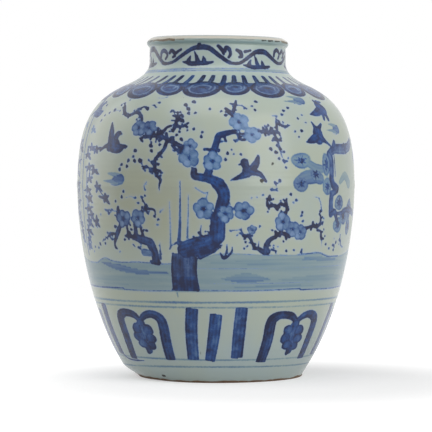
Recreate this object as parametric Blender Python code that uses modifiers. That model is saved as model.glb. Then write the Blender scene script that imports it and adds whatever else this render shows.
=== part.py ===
"""Porcelain jar, thrown in four sections that are luted together with slip.

Metres, +Z up. The foot stands on the plane z = 0 and the wheel's axis is the Z axis.
Every section is a turned ring or bowl. Its rim has a rebate, the next section has a
tongue that drops into it, and a ring of slip fills the joint and is wiped out inside
the pot as a low band.
"""

import math

import bpy
import numpy as np

COLLECTION = "porcelain_jar"

# Heights of the four thrown sections, joint to joint, from the foot up.
BASE_HEIGHT = 0.078
LOWER_HEIGHT = 0.131
UPPER_HEIGHT = 0.126
NECK_HEIGHT = 0.035

# Lower outside curve, from the foot to the widest place at the belly joint.
FOOT_RADIUS = 0.0945
FOOT_LEAN = math.radians(37.0)
FOOT_PULL = 0.0608
BELLY_RADIUS = 0.152
BELLY_PULL_BELOW = 0.0689

# Shoulder curve, from the belly joint to the steepest part of the shoulder.
BELLY_PULL_ABOVE = 0.0702
SHOULDER_RADIUS = 0.1004
SHOULDER_DROP = 0.0175
SHOULDER_LEAN = math.radians(-65.4)
SHOULDER_PULL = 0.0369

# Hollow curve from the shoulder into the upright neck.
NECK_PULL_BELOW = 0.0131
NECK_RADIUS = 0.0746
NECK_RISE = 0.008
NECK_PULL_ABOVE = 0.0131

# Lip, folded out over the neck: its top slants down to the widest place and turns back under it.
LIP_OVERHANG = 0.003
LIP_CREST_INSET = 0.0078
LIP_INNER_HEIGHT = 0.0036
LIP_INNER_PULL = 0.0016
LIP_SLANT_HEIGHT = 0.0064
LIP_SLANT_PULL = 0.0025
LIP_UNDER_HEIGHT = 0.0048
LIP_UNDER_PULL = 0.0018
LIP_UNDER_LEAN = math.radians(40.0)

# Wall thickness, square to the surface, at the foot and at each joint.
FOOT_WALL = 0.0105
BASE_JOINT_WALL = 0.0088
BELLY_JOINT_WALL = 0.0072
NECK_JOINT_WALL = 0.0076
NECK_WALL = 0.0070

# Foot ring, cut from the thick base after throwing.
FOOT_BEVEL_HEIGHT = 0.003
FOOT_BEVEL_WIDTH = 0.002
FOOT_RING_WIDTH = 0.0085
FOOT_INNER_BEVEL = 0.0015
FOOT_RECESS = 0.007
BASE_DOME = 0.0012
FLOOR_THICKNESS = 0.010
FLOOR_FLAT_RADIUS = 0.058
FLOOR_CORNER_HEIGHT = 0.030
FLOOR_PULL = 0.024
FLOOR_WALL_PULL = 0.018

# Luted joints.
TONGUE_DEPTH = 0.004
SLIP_THICKNESS = 0.0012
SEAT_GAP = 0.0003
BAND_HEIGHT = 0.010
BAND_DEPTH = 0.0012

# Facets of the turned shapes.
TURN_STEPS = 60
CURVE_STEPS = 160
LEAN_REACH = 0.003
NECK_STEP = 0.0034
TIGHT_STEP = 0.0135
OPEN_STEP = 0.023
INSIDE_STEP = 0.024
LIP_INNER_FACETS = 3
LIP_SLANT_FACETS = 5
LIP_UNDER_FACETS = 3
MERGE_DISTANCE = 0.00005
SHARP_ANGLE = math.radians(34.0)

# Heights of the joints and of the lip above the table.
BASE_JOINT = BASE_HEIGHT
BELLY_JOINT = BASE_JOINT + LOWER_HEIGHT
NECK_JOINT = BELLY_JOINT + UPPER_HEIGHT
LIP_TOP = NECK_JOINT + NECK_HEIGHT
LIP_WIDEST = LIP_TOP - LIP_SLANT_HEIGHT
LIP_CREASE = LIP_WIDEST - LIP_UNDER_HEIGHT

# Leans of a path that runs level outwards, and straight down.
LEVEL = math.pi / 2
DOWN = math.pi

# Base colour and roughness of the finishes.
NECK_GLAZE = ((0.63, 0.68, 0.66), 0.16)
UPPER_GLAZE = ((0.61, 0.65, 0.60), 0.17)
LOWER_GLAZE = ((0.58, 0.62, 0.56), 0.18)
BASE_GLAZE = ((0.56, 0.61, 0.57), 0.20)
SLIP_CLAY = ((0.66, 0.60, 0.51), 0.62)


def curve(start, start_lean, start_pull, end, end_lean, end_pull, steps=CURVE_STEPS):
    """Points (radius, height) of a cubic curve; a lean is an angle outwards from upright."""
    first = np.array(start)
    last = np.array(end)
    second = first + start_pull * np.array([math.sin(start_lean), math.cos(start_lean)])
    third = last - end_pull * np.array([math.sin(end_lean), math.cos(end_lean)])
    t = np.linspace(0.0, 1.0, steps + 1)[:, None]
    return ((1 - t) ** 3 * first + 3 * (1 - t) ** 2 * t * second
            + 3 * (1 - t) * t ** 2 * third + t ** 3 * last)


def outside_path():
    """Outside of the pot from the foot's bevel up to the crease below the lip."""
    foot = (FOOT_RADIUS, FOOT_BEVEL_HEIGHT)
    belly = (BELLY_RADIUS, BELLY_JOINT)
    shoulder = (SHOULDER_RADIUS, NECK_JOINT - SHOULDER_DROP)
    neck = (NECK_RADIUS, NECK_JOINT + NECK_RISE)
    below = curve(foot, FOOT_LEAN, FOOT_PULL, belly, 0.0, BELLY_PULL_BELOW)
    above = curve(belly, 0.0, BELLY_PULL_ABOVE, shoulder, SHOULDER_LEAN, SHOULDER_PULL)
    hollow = curve(shoulder, SHOULDER_LEAN, NECK_PULL_BELOW, neck, 0.0, NECK_PULL_ABOVE)
    crease = np.array([[NECK_RADIUS, LIP_CREASE]])
    return np.concatenate([below, above[1:], hollow[1:], crease])


def lip_path():
    """Lip from the neck's inside over its crest and widest place to the crease outside."""
    edge = NECK_RADIUS + LIP_OVERHANG
    inner = (NECK_RADIUS - NECK_WALL, LIP_TOP - LIP_INNER_HEIGHT)
    crest = (edge - LIP_CREST_INSET, LIP_TOP)
    widest = (edge, LIP_WIDEST)
    crease = (NECK_RADIUS, LIP_CREASE)
    tuck = DOWN + LIP_UNDER_LEAN
    rise = curve(inner, 0.0, LIP_INNER_PULL, crest, LEVEL, LIP_INNER_PULL, LIP_INNER_FACETS)
    slant = curve(crest, LEVEL, LIP_SLANT_PULL, widest, DOWN, LIP_SLANT_PULL, LIP_SLANT_FACETS)
    under = curve(widest, DOWN, LIP_UNDER_PULL, crease, tuck, LIP_UNDER_PULL, LIP_UNDER_FACETS)
    return np.concatenate([rise, slant[1:], under[1:]])


def wall_path(outside):
    """Inside of the wall: the outside moved in, square to itself, by the wall's thickness."""
    heights = [0.0, BASE_JOINT, BELLY_JOINT, NECK_JOINT, NECK_JOINT + NECK_RISE]
    walls = [FOOT_WALL, BASE_JOINT_WALL, BELLY_JOINT_WALL, NECK_JOINT_WALL, NECK_WALL]
    thickness = np.interp(outside[:, 1], heights, walls)[:, None]
    run = np.gradient(outside, axis=0)
    run /= np.linalg.norm(run, axis=1)[:, None]
    outward = np.stack([run[:, 1], -run[:, 0]], axis=1)
    return outside - thickness * outward


def radius_at(path, height):
    """Radius of a path, listed from the foot up, at a height."""
    return float(np.interp(height, path[:, 1], path[:, 0]))


def along(path, start, end, step):
    """Evenly spaced points of a path between two heights, about a step apart."""
    pieces = np.linalg.norm(np.diff(path, axis=0), axis=1)
    lengths = np.concatenate([[0.0], np.cumsum(pieces)])
    first, last = np.interp([start, end], path[:, 1], lengths)
    count = max(2, math.ceil(abs(last - first) / step) + 1)
    places = np.linspace(first, last, count)
    return [(float(np.interp(place, lengths, path[:, 0])), float(np.interp(place, lengths, path[:, 1])))
            for place in places]


def floor_path(inside):
    """Inside of the base: a flat floor that sweeps up into the wall."""
    floor = FOOT_RECESS + FLOOR_THICKNESS
    corner = floor + FLOOR_CORNER_HEIGHT
    wall = (radius_at(inside, corner), corner)
    lean = math.atan2(radius_at(inside, corner + LEAN_REACH) - wall[0], LEAN_REACH)
    sweep = curve((FLOOR_FLAT_RADIUS, floor), math.pi / 2, FLOOR_PULL, wall, lean, FLOOR_WALL_PULL)
    above = inside[inside[:, 1] > corner]
    return np.concatenate([sweep, above])


def joint_middle(outside, inside, joint):
    """Radius of the middle of the wall at a joint, where the tongue's outer face runs."""
    return (radius_at(outside, joint) + radius_at(inside, joint)) / 2


def band_edges(joint):
    """Lower and upper height of the band of slip wiped over the joint inside the pot."""
    centre = joint - TONGUE_DEPTH
    return centre - BAND_HEIGHT / 2, centre + BAND_HEIGHT / 2


def tongue_end(outside, inside, joint):
    """Lower end of a section: a shoulder outside and a tongue inside, outer edge first."""
    middle = joint_middle(outside, inside, joint)
    shoulder = joint + SLIP_THICKNESS / 2 + SEAT_GAP
    tip = shoulder - TONGUE_DEPTH
    face = middle - SLIP_THICKNESS / 2 - SEAT_GAP
    return [(face, shoulder), (face, tip), (radius_at(inside, tip), tip)]


def rebate_end(outside, inside, joint):
    """Upper end of a section: a rebate inside and a rim outside, inner edge first."""
    middle = joint_middle(outside, inside, joint)
    rim = joint - SLIP_THICKNESS / 2 - SEAT_GAP
    ledge = rim - TONGUE_DEPTH
    face = middle + SLIP_THICKNESS / 2 + SEAT_GAP
    return [(radius_at(inside, ledge), ledge), (face, ledge), (face, rim)]


def outside_run(outside, top_joint, bottom_joint, step):
    """Outside of a section, from its upper rim down to the joint below."""
    top = top_joint - SLIP_THICKNESS / 2 - SEAT_GAP
    bottom = bottom_joint + SLIP_THICKNESS / 2 + SEAT_GAP
    return along(outside, top, bottom, step)


def inside_run(inside, bottom_joint, top_joint):
    """Inside of a section between the bands of slip, from the joint below up to the one above."""
    bottom = band_edges(bottom_joint)[1]
    top = band_edges(top_joint)[0]
    return along(inside, bottom, top, INSIDE_STEP)


def base_bowl_profile(outside, inside):
    """Base thrown as a shallow bowl, with its foot ring; both ends lie on the axis."""
    floor = floor_path(inside)
    floor_height = FOOT_RECESS + FLOOR_THICKNESS
    ring_outer = FOOT_RADIUS - FOOT_BEVEL_WIDTH
    ring_inner = ring_outer - FOOT_RING_WIDTH
    recess_radius = ring_inner - FOOT_INNER_BEVEL
    rim = BASE_JOINT - SLIP_THICKNESS / 2 - SEAT_GAP
    bowl = along(floor, floor_height, band_edges(BASE_JOINT)[0], INSIDE_STEP)
    wall = along(outside, rim, FOOT_BEVEL_HEIGHT, TIGHT_STEP)
    foot = [(ring_outer, 0.0), (ring_inner, 0.0), (recess_radius, FOOT_INNER_BEVEL),
            (recess_radius, FOOT_RECESS)]
    floor_centre = [(0.0, floor_height)]
    dome_centre = [(0.0, FOOT_RECESS + BASE_DOME)]
    return floor_centre + bowl + rebate_end(outside, inside, BASE_JOINT) + wall + foot + dome_centre


def body_profile(outside, inside, bottom_joint, top_joint, step):
    """Ring of the body between two joints, down its outside and up its inside."""
    return (outside_run(outside, top_joint, bottom_joint, step)
            + tongue_end(outside, inside, bottom_joint)
            + inside_run(inside, bottom_joint, top_joint)
            + rebate_end(outside, inside, top_joint))


def neck_profile(outside, inside):
    """Neck collar with its folded lip, down its outside and up its inside."""
    lip = [(float(radius), float(height)) for radius, height in lip_path()]
    upright = NECK_JOINT + NECK_RISE
    bottom = NECK_JOINT + SLIP_THICKNESS / 2 + SEAT_GAP
    outer = along(outside, upright, bottom, NECK_STEP)
    inner = [(radius_at(inside, height), height) for height in (band_edges(NECK_JOINT)[1], upright)]
    return lip + outer + tongue_end(outside, inside, NECK_JOINT) + inner


def slip_profile(outside, inside, joint):
    """Slip of one joint: flush outside, stepped round the tongue, and wiped out as a band inside."""
    middle = joint_middle(outside, inside, joint)
    half = SLIP_THICKNESS / 2
    centre = joint - TONGUE_DEPTH
    low, high = band_edges(joint)

    def back(height):
        return radius_at(inside, height) - SEAT_GAP

    return [
        (radius_at(outside, joint + half), joint + half),
        (radius_at(outside, joint - half), joint - half),
        (middle + half, joint - half),
        (middle + half, centre - half),
        (back(centre - half), centre - half),
        (back(low), low),
        (back(centre) - BAND_DEPTH, centre),
        (back(high), high),
        (back(centre + half), centre + half),
        (middle - half, centre + half),
        (middle - half, joint + half),
    ]


def porcelain(name, finish):
    """Material of one piece: fired clay with its glaze, or bare slip."""
    colour, roughness = finish
    material = bpy.data.materials.new(name)
    material.use_nodes = True
    shader = material.node_tree.nodes["Principled BSDF"]
    shader.inputs["Base Color"].default_value = (*colour, 1.0)
    shader.inputs["Roughness"].default_value = roughness
    shader.inputs["Metallic"].default_value = 0.0
    material.diffuse_color = (*colour, 1.0)
    return material


def turned(name, profile, seat, material, collection, axis):
    """Turn a profile (radius, height) about the axis; the piece's own origin is at its seat."""
    closed = min(radius for radius, _ in profile) > 0.0
    count = len(profile)
    edges = [(index, (index + 1) % count) for index in range(count if closed else count - 1)]
    outline = bpy.data.meshes.new(name + "_profile")
    outline.from_pydata([(radius, 0.0, height - seat) for radius, height in profile], edges, [])
    piece = bpy.data.objects.new(name, outline)
    collection.objects.link(piece)
    screw = piece.modifiers.new("Turn", "SCREW")
    screw.axis = "Z"
    screw.angle = math.tau
    screw.steps = TURN_STEPS
    screw.render_steps = TURN_STEPS
    screw.use_merge_vertices = True
    screw.merge_threshold = MERGE_DISTANCE
    bpy.context.view_layer.update()
    evaluated = piece.evaluated_get(bpy.context.evaluated_depsgraph_get())
    solid = bpy.data.meshes.new_from_object(evaluated)
    solid.name = name
    piece.modifiers.remove(screw)
    piece.data = solid
    bpy.data.meshes.remove(outline)
    solid.shade_smooth()
    solid.set_sharp_from_angle(angle=SHARP_ANGLE)
    solid.materials.append(material)
    piece.parent = axis
    piece.location = (0.0, 0.0, seat)
    return piece


def main():
    for old in list(bpy.data.objects):
        bpy.data.objects.remove(old)
    collection = bpy.data.collections.new(COLLECTION)
    bpy.context.scene.collection.children.link(collection)
    axis = bpy.data.objects.new("wheel_axis", None)
    collection.objects.link(axis)

    outside = outside_path()
    inside = wall_path(outside)
    neck_glaze = porcelain("glazed_neck", NECK_GLAZE)
    upper_glaze = porcelain("glazed_upper_body", UPPER_GLAZE)
    lower_glaze = porcelain("glazed_lower_body", LOWER_GLAZE)
    base_glaze = porcelain("glazed_base", BASE_GLAZE)

    turned("base_bowl", base_bowl_profile(outside, inside), 0.0, base_glaze, collection, axis)
    turned("lower_body", body_profile(outside, inside, BASE_JOINT, BELLY_JOINT, OPEN_STEP),
           BASE_JOINT, lower_glaze, collection, axis)
    turned("upper_body", body_profile(outside, inside, BELLY_JOINT, NECK_JOINT, TIGHT_STEP),
           BELLY_JOINT, upper_glaze, collection, axis)
    turned("neck_collar", neck_profile(outside, inside), NECK_JOINT, neck_glaze, collection, axis)

    joints = {"base_slip_seam": BASE_JOINT, "belly_slip_seam": BELLY_JOINT, "neck_slip_seam": NECK_JOINT}
    for name, joint in joints.items():
        slip = porcelain(name + "_clay", SLIP_CLAY)
        turned(name, slip_profile(outside, inside, joint), joint, slip, collection, axis)


main()
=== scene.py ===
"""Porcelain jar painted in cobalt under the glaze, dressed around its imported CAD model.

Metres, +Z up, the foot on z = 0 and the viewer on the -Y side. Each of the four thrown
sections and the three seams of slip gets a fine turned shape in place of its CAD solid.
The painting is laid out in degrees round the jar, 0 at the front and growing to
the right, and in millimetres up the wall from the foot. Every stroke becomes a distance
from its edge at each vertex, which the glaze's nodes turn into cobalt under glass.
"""

import math

import bmesh
import bpy
import numpy as np
from bpy.props import FloatProperty, FloatVectorProperty, IntProperty, PointerProperty
from mathutils import Matrix, Vector


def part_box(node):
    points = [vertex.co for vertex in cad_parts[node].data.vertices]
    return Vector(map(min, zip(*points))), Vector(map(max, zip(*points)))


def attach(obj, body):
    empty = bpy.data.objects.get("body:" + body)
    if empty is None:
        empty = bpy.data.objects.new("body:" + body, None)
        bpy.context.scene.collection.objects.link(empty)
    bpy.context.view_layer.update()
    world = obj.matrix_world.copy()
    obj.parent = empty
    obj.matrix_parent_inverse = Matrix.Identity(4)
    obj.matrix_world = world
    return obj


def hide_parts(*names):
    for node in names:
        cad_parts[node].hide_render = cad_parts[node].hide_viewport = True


bl_info = {
    "name": "Blue and white jar",
    "version": (1, 0, 0),
    "blender": (4, 5, 0),
    "location": "View3D > Sidebar > Jar",
    "description": "Throws, lutes, paints and glazes a large porcelain jar",
    "category": "Add Mesh",
}

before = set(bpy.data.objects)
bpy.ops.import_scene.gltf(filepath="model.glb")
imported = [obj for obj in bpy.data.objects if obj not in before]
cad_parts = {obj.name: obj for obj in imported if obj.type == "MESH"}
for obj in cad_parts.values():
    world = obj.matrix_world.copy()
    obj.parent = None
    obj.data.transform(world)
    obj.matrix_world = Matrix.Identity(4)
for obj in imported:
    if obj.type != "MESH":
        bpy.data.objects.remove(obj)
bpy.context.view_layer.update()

# Joints of the thrown sections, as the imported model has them.
SLIP_THICKNESS = 0.0012
SEAT_GAP = 0.0003
TONGUE_DEPTH = 0.004
BAND_HEIGHT = 0.010
BAND_DEPTH = 0.0012
RIM_DROP = SLIP_THICKNESS / 2 + SEAT_GAP
BASE_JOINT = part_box("base_bowl")[1].z + RIM_DROP
BELLY_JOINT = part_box("lower_body")[1].z + RIM_DROP
NECK_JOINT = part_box("upper_body")[1].z + RIM_DROP
LIP_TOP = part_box("neck_collar")[1].z
LIP_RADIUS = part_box("neck_collar")[1].x
BELLY_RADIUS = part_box("lower_body")[1].x

# Distance in mm past which a vertex no longer feels a brush stroke.
REACH = 6.0
# Depth in mm inside a stroke from which it covers what lies below it.
COVERED = 0.9
# A plum's stroke between these widths in mm is broken into dabs.
TWIG_WIDTHS = (1.9, 5.8)
MM = 0.001
# Rise of the rings where nothing is painted.
BARE = -1000.0
# Columns cut into each step of a spin.
RING_CUTS = 8
# Distances of the rings where nothing is painted, and on the small forms of the neck.
BODY_INNER_STEP = 0.011
BOWL_INNER_STEP = 0.006
NECK_INNER_STEP = 0.002
NECK_OUTER_STEP = 0.0006
# Edges bent by more than this are drawn sharp.
SHARP_ANGLE = math.radians(34.0)

# Faults of the fired jar in metres: a body out of round, the belly seam's ridge, throwing rings, a neck
# that stands to the right and falls over its width, a crest that dips in front, and a heel worn off,
# and lifted, at the left and spread at the right.
OUT_OF_ROUND = (0.00035, 0.0002)
SEAM_RIDGE = 0.00045
THROWING_RINGS = 0.00006
NECK_SHIFT = 0.0019
NECK_FALL = 0.0102
CREST_DIP = 0.0013
HEEL_WORN = 0.0055
HEEL_LIFTED = 0.0033
HEEL_SPREAD = 0.0013
# Height at which the neck's lean begins.
LEAN_START = 0.300

# Where the photograph was taken from: a little over the belly, straight in front.
CAMERA_PLACE = (0.0002, -2.35, 0.2155)
CAMERA_AIM = (0.0002, 0.0, 0.1748)
CAMERA_ANGLE = math.radians(11.52)


def linear(colour):
    """Linear value of an sRGB hex colour."""
    parts = [int(colour[index:index + 2], 16) / 255 for index in (1, 3, 5)]
    return [part / 12.92 if part <= 0.04045 else ((part + 0.055) / 1.055) ** 2.4 for part in parts]


class JarSizes(bpy.types.PropertyGroup):
    """Sizes of the thrown shape that a user may change."""

    foot_radius: FloatProperty(
        name="Foot radius", description="Outside of the foot above its bevel", default=0.0945, unit="LENGTH")
    foot_lean: FloatProperty(
        name="Foot lean", description="Lean of the wall outwards at the foot",
        default=math.radians(37.0), subtype="ANGLE")
    foot_pull: FloatProperty(
        name="Foot pull", description="Strength of the curve at the foot", default=0.0608, unit="LENGTH")
    belly_pull_below: FloatProperty(
        name="Belly pull below", description="Fullness below the belly", default=0.0689, unit="LENGTH")
    belly_pull_above: FloatProperty(
        name="Belly pull above", description="Fullness above the belly", default=0.0702, unit="LENGTH")
    shoulder_radius: FloatProperty(
        name="Shoulder radius", description="Where the shoulder is steepest", default=0.1004, unit="LENGTH")
    shoulder_drop: FloatProperty(
        name="Shoulder drop", description="Steepest place below the neck joint",
        default=0.0175, unit="LENGTH")
    shoulder_lean: FloatProperty(
        name="Shoulder lean", description="Lean of the shoulder, inwards",
        default=math.radians(-65.4), subtype="ANGLE")
    shoulder_pull: FloatProperty(
        name="Shoulder pull", description="Fullness of the shoulder", default=0.0369, unit="LENGTH")
    neck_radius: FloatProperty(
        name="Neck radius", description="Outside of the upright neck", default=0.0746, unit="LENGTH")
    neck_rise: FloatProperty(
        name="Neck rise", description="Height over the joint where the neck is upright",
        default=0.008, unit="LENGTH")
    neck_pull_below: FloatProperty(
        name="Neck pull below", description="Hollow towards the shoulder", default=0.0131, unit="LENGTH")
    neck_pull_above: FloatProperty(
        name="Neck pull above", description="Hollow towards the neck", default=0.0131, unit="LENGTH")
    lip_crest_inset: FloatProperty(
        name="Lip crest inset", description="Crest of the lip in from its widest place",
        default=0.0078, unit="LENGTH")
    lip_inner_height: FloatProperty(
        name="Lip inner height", description="Rise of the lip's inner rounding",
        default=0.0036, unit="LENGTH")
    lip_slant_height: FloatProperty(
        name="Lip slant height", description="Fall of the lip's slanted top", default=0.0064, unit="LENGTH")
    lip_under_height: FloatProperty(
        name="Lip under height", description="Fall of the lip's underside", default=0.0048, unit="LENGTH")
    lip_under_lean: FloatProperty(
        name="Lip under lean", description="Lean of the underside where it meets the neck",
        default=math.radians(40.0), subtype="ANGLE")
    foot_wall: FloatProperty(
        name="Foot wall", description="Wall thickness at the foot", default=0.0105, unit="LENGTH")
    neck_wall: FloatProperty(
        name="Neck wall", description="Wall thickness at the neck", default=0.0070, unit="LENGTH")
    mesh_step: FloatProperty(
        name="Mesh step", description="Distance of the rings on the painted side",
        default=0.00135, unit="LENGTH")
    body_columns: IntProperty(
        name="Body columns", description="Columns round the body sections", default=704, min=48)
    neck_columns: IntProperty(
        name="Neck columns", description="Columns round the neck collar", default=840, min=48)
    grain_count: IntProperty(
        name="Kiln grit", description="Grains of kiln grit stuck to the foot", default=130, min=0)


class JarColours(bpy.types.PropertyGroup):
    """Colours of glaze, cobalt and clay, linear values of the sRGB colours named."""

    glaze: FloatVectorProperty(
        name="Glaze", description="Greyish white glaze over porcelain",
        default=linear("#ACB5A6"), size=3, subtype="COLOR")
    glaze_thick: FloatVectorProperty(
        name="Pooled glaze", description="Bluer glaze where it lies thick",
        default=linear("#A3B3B6"), size=3, subtype="COLOR")
    pale_cobalt: FloatVectorProperty(
        name="Pale cobalt", description="Thin wash of cobalt",
        default=linear("#76909C"), size=3, subtype="COLOR")
    brushed_cobalt: FloatVectorProperty(
        name="Brushed cobalt", description="Half-loaded brush of cobalt",
        default=linear("#54779F"), size=3, subtype="COLOR")
    cobalt: FloatVectorProperty(
        name="Cobalt", description="Full brush of cobalt", default=linear("#1E4A8A"), size=3, subtype="COLOR")
    deep_cobalt: FloatVectorProperty(
        name="Deep cobalt", description="Cobalt that has piled up",
        default=linear("#0D1F4C"), size=3, subtype="COLOR")
    inky_cobalt: FloatVectorProperty(
        name="Inky cobalt", description="Greyer, violet cobalt of the twigs",
        default=linear("#1A1C36"), size=3, subtype="COLOR")
    iron: FloatVectorProperty(
        name="Iron", description="Iron specks and dark pits in the glaze",
        default=linear("#16140F"), size=3, subtype="COLOR")
    clay: FloatVectorProperty(
        name="Bare clay", description="Unglazed clay, burnt brown in the kiln",
        default=linear("#86705C"), size=3, subtype="COLOR")
    worn: FloatVectorProperty(
        name="Worn lip", description="Rust where the lip is worn",
        default=linear("#5A4033"), size=3, subtype="COLOR")
    slip: FloatVectorProperty(
        name="Slip", description="Fired porcelain slip of the seams",
        default=linear("#CFC5B0"), size=3, subtype="COLOR")
    paper: FloatVectorProperty(
        name="Floor", description="White paper that the jar stands on",
        default=linear("#F4F4F4"), size=3, subtype="COLOR")


# Outline of the jar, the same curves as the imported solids.


def curve(start, start_lean, start_pull, end, end_lean, end_pull, steps=400):
    """Points (radius, height) of a cubic curve; a lean is an angle outwards from upright."""
    first = np.array(start)
    last = np.array(end)
    second = first + start_pull * np.array([math.sin(start_lean), math.cos(start_lean)])
    third = last - end_pull * np.array([math.sin(end_lean), math.cos(end_lean)])
    t = np.linspace(0.0, 1.0, steps)[:, None]
    return ((1 - t) ** 3 * first + 3 * (1 - t) ** 2 * t * second
            + 3 * (1 - t) * t ** 2 * third + t ** 3 * last)


class Outline:
    """Outside and inside of the wall, with the way up the outside in mm."""

    FOOT_BEVEL_HEIGHT = 0.003
    WALLS = ((BASE_JOINT, 0.0088), (BELLY_JOINT, 0.0072), (NECK_JOINT, 0.0076))

    def __init__(self, sizes):
        self.sizes = sizes
        foot = (sizes.foot_radius, self.FOOT_BEVEL_HEIGHT)
        belly = (BELLY_RADIUS, BELLY_JOINT)
        shoulder = (sizes.shoulder_radius, NECK_JOINT - sizes.shoulder_drop)
        neck = (sizes.neck_radius, NECK_JOINT + sizes.neck_rise)
        below = curve(foot, sizes.foot_lean, sizes.foot_pull, belly, 0.0, sizes.belly_pull_below)
        above = curve(belly, 0.0, sizes.belly_pull_above, shoulder, sizes.shoulder_lean, sizes.shoulder_pull)
        hollow = curve(shoulder, sizes.shoulder_lean, sizes.neck_pull_below, neck, 0.0, sizes.neck_pull_above)
        crease = LIP_TOP - sizes.lip_slant_height - sizes.lip_under_height
        self.outside = np.concatenate([below, above[1:], hollow[1:], [[sizes.neck_radius, crease]]])
        self.inside = self.wall()
        steps = np.linalg.norm(np.diff(self.outside, axis=0), axis=1)
        self.way = np.concatenate([[0.0], np.cumsum(steps)]) / MM

    def wall(self):
        """Inside of the wall: the outside moved in, square to itself, by the wall's thickness."""
        heights = [0.0] + [joint for joint, _ in self.WALLS] + [NECK_JOINT + self.sizes.neck_rise]
        walls = [self.sizes.foot_wall] + [wall for _, wall in self.WALLS] + [self.sizes.neck_wall]
        thickness = np.interp(self.outside[:, 1], heights, walls)[:, None]
        run = np.gradient(self.outside, axis=0)
        run /= np.linalg.norm(run, axis=1)[:, None]
        return self.outside - thickness * np.stack([run[:, 1], -run[:, 0]], axis=1)

    def outer(self, height):
        return float(np.interp(height, self.outside[:, 1], self.outside[:, 0]))

    def inner(self, height):
        return float(np.interp(height, self.inside[:, 1], self.inside[:, 0]))

    def middle(self, joint):
        return (self.outer(joint) + self.inner(joint)) / 2

    def rise(self, height):
        """Way up the outside in mm at a height."""
        return float(np.interp(height, self.outside[:, 1], self.way))

    def radius_mm(self, rise):
        """Radius in mm at a way up the outside."""
        return np.interp(rise, self.way, self.outside[:, 0]) / MM

    def outer_rings(self, low, high, step):
        """Rings (radius, height, rise) up the outside between two heights."""
        first, last = self.rise(low), self.rise(high)
        count = max(2, round((last - first) * MM / step) + 1)
        return [(float(np.interp(rise, self.way, self.outside[:, 0])),
                 float(np.interp(rise, self.way, self.outside[:, 1])), float(rise))
                for rise in np.linspace(first, last, count)]

    def inner_rings(self, low, high, step):
        """Rings up the inside between two heights; nothing is painted there."""
        count = max(2, round((high - low) / step) + 1)
        return [(self.inner(height), float(height), BARE) for height in np.linspace(low, high, count)]


# Brushwork.


def between(turn, centre):
    """Shortest way in degrees from a centre, on a full circle."""
    return (turn - centre + 180.0) % 360.0 - 180.0


def flowing(points, widths):
    """Rows (turn, rise, width) of a stroke with softly rounded turns: a cubic spline through its points."""
    widths = np.broadcast_to(np.array(widths, float), len(points))
    rows = np.array([(turn, rise, width) for (turn, rise), width in zip(points, widths)], float)
    if len(rows) < 3:
        return rows
    ends = np.concatenate([[2 * rows[0] - rows[1]], rows, [2 * rows[-1] - rows[-2]]])
    t = np.linspace(0.0, 1.0, 5)[:-1, None]
    parts = []
    for before, start, end, after in zip(ends, ends[1:], ends[2:], ends[3:]):
        parts.append(0.5 * (2 * start + (end - before) * t
                            + (2 * before - 5 * start + 4 * end - after) * t ** 2
                            + (3 * start - before - 3 * end + after) * t ** 3))
    return np.concatenate(parts + [rows[-1:]])


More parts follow.
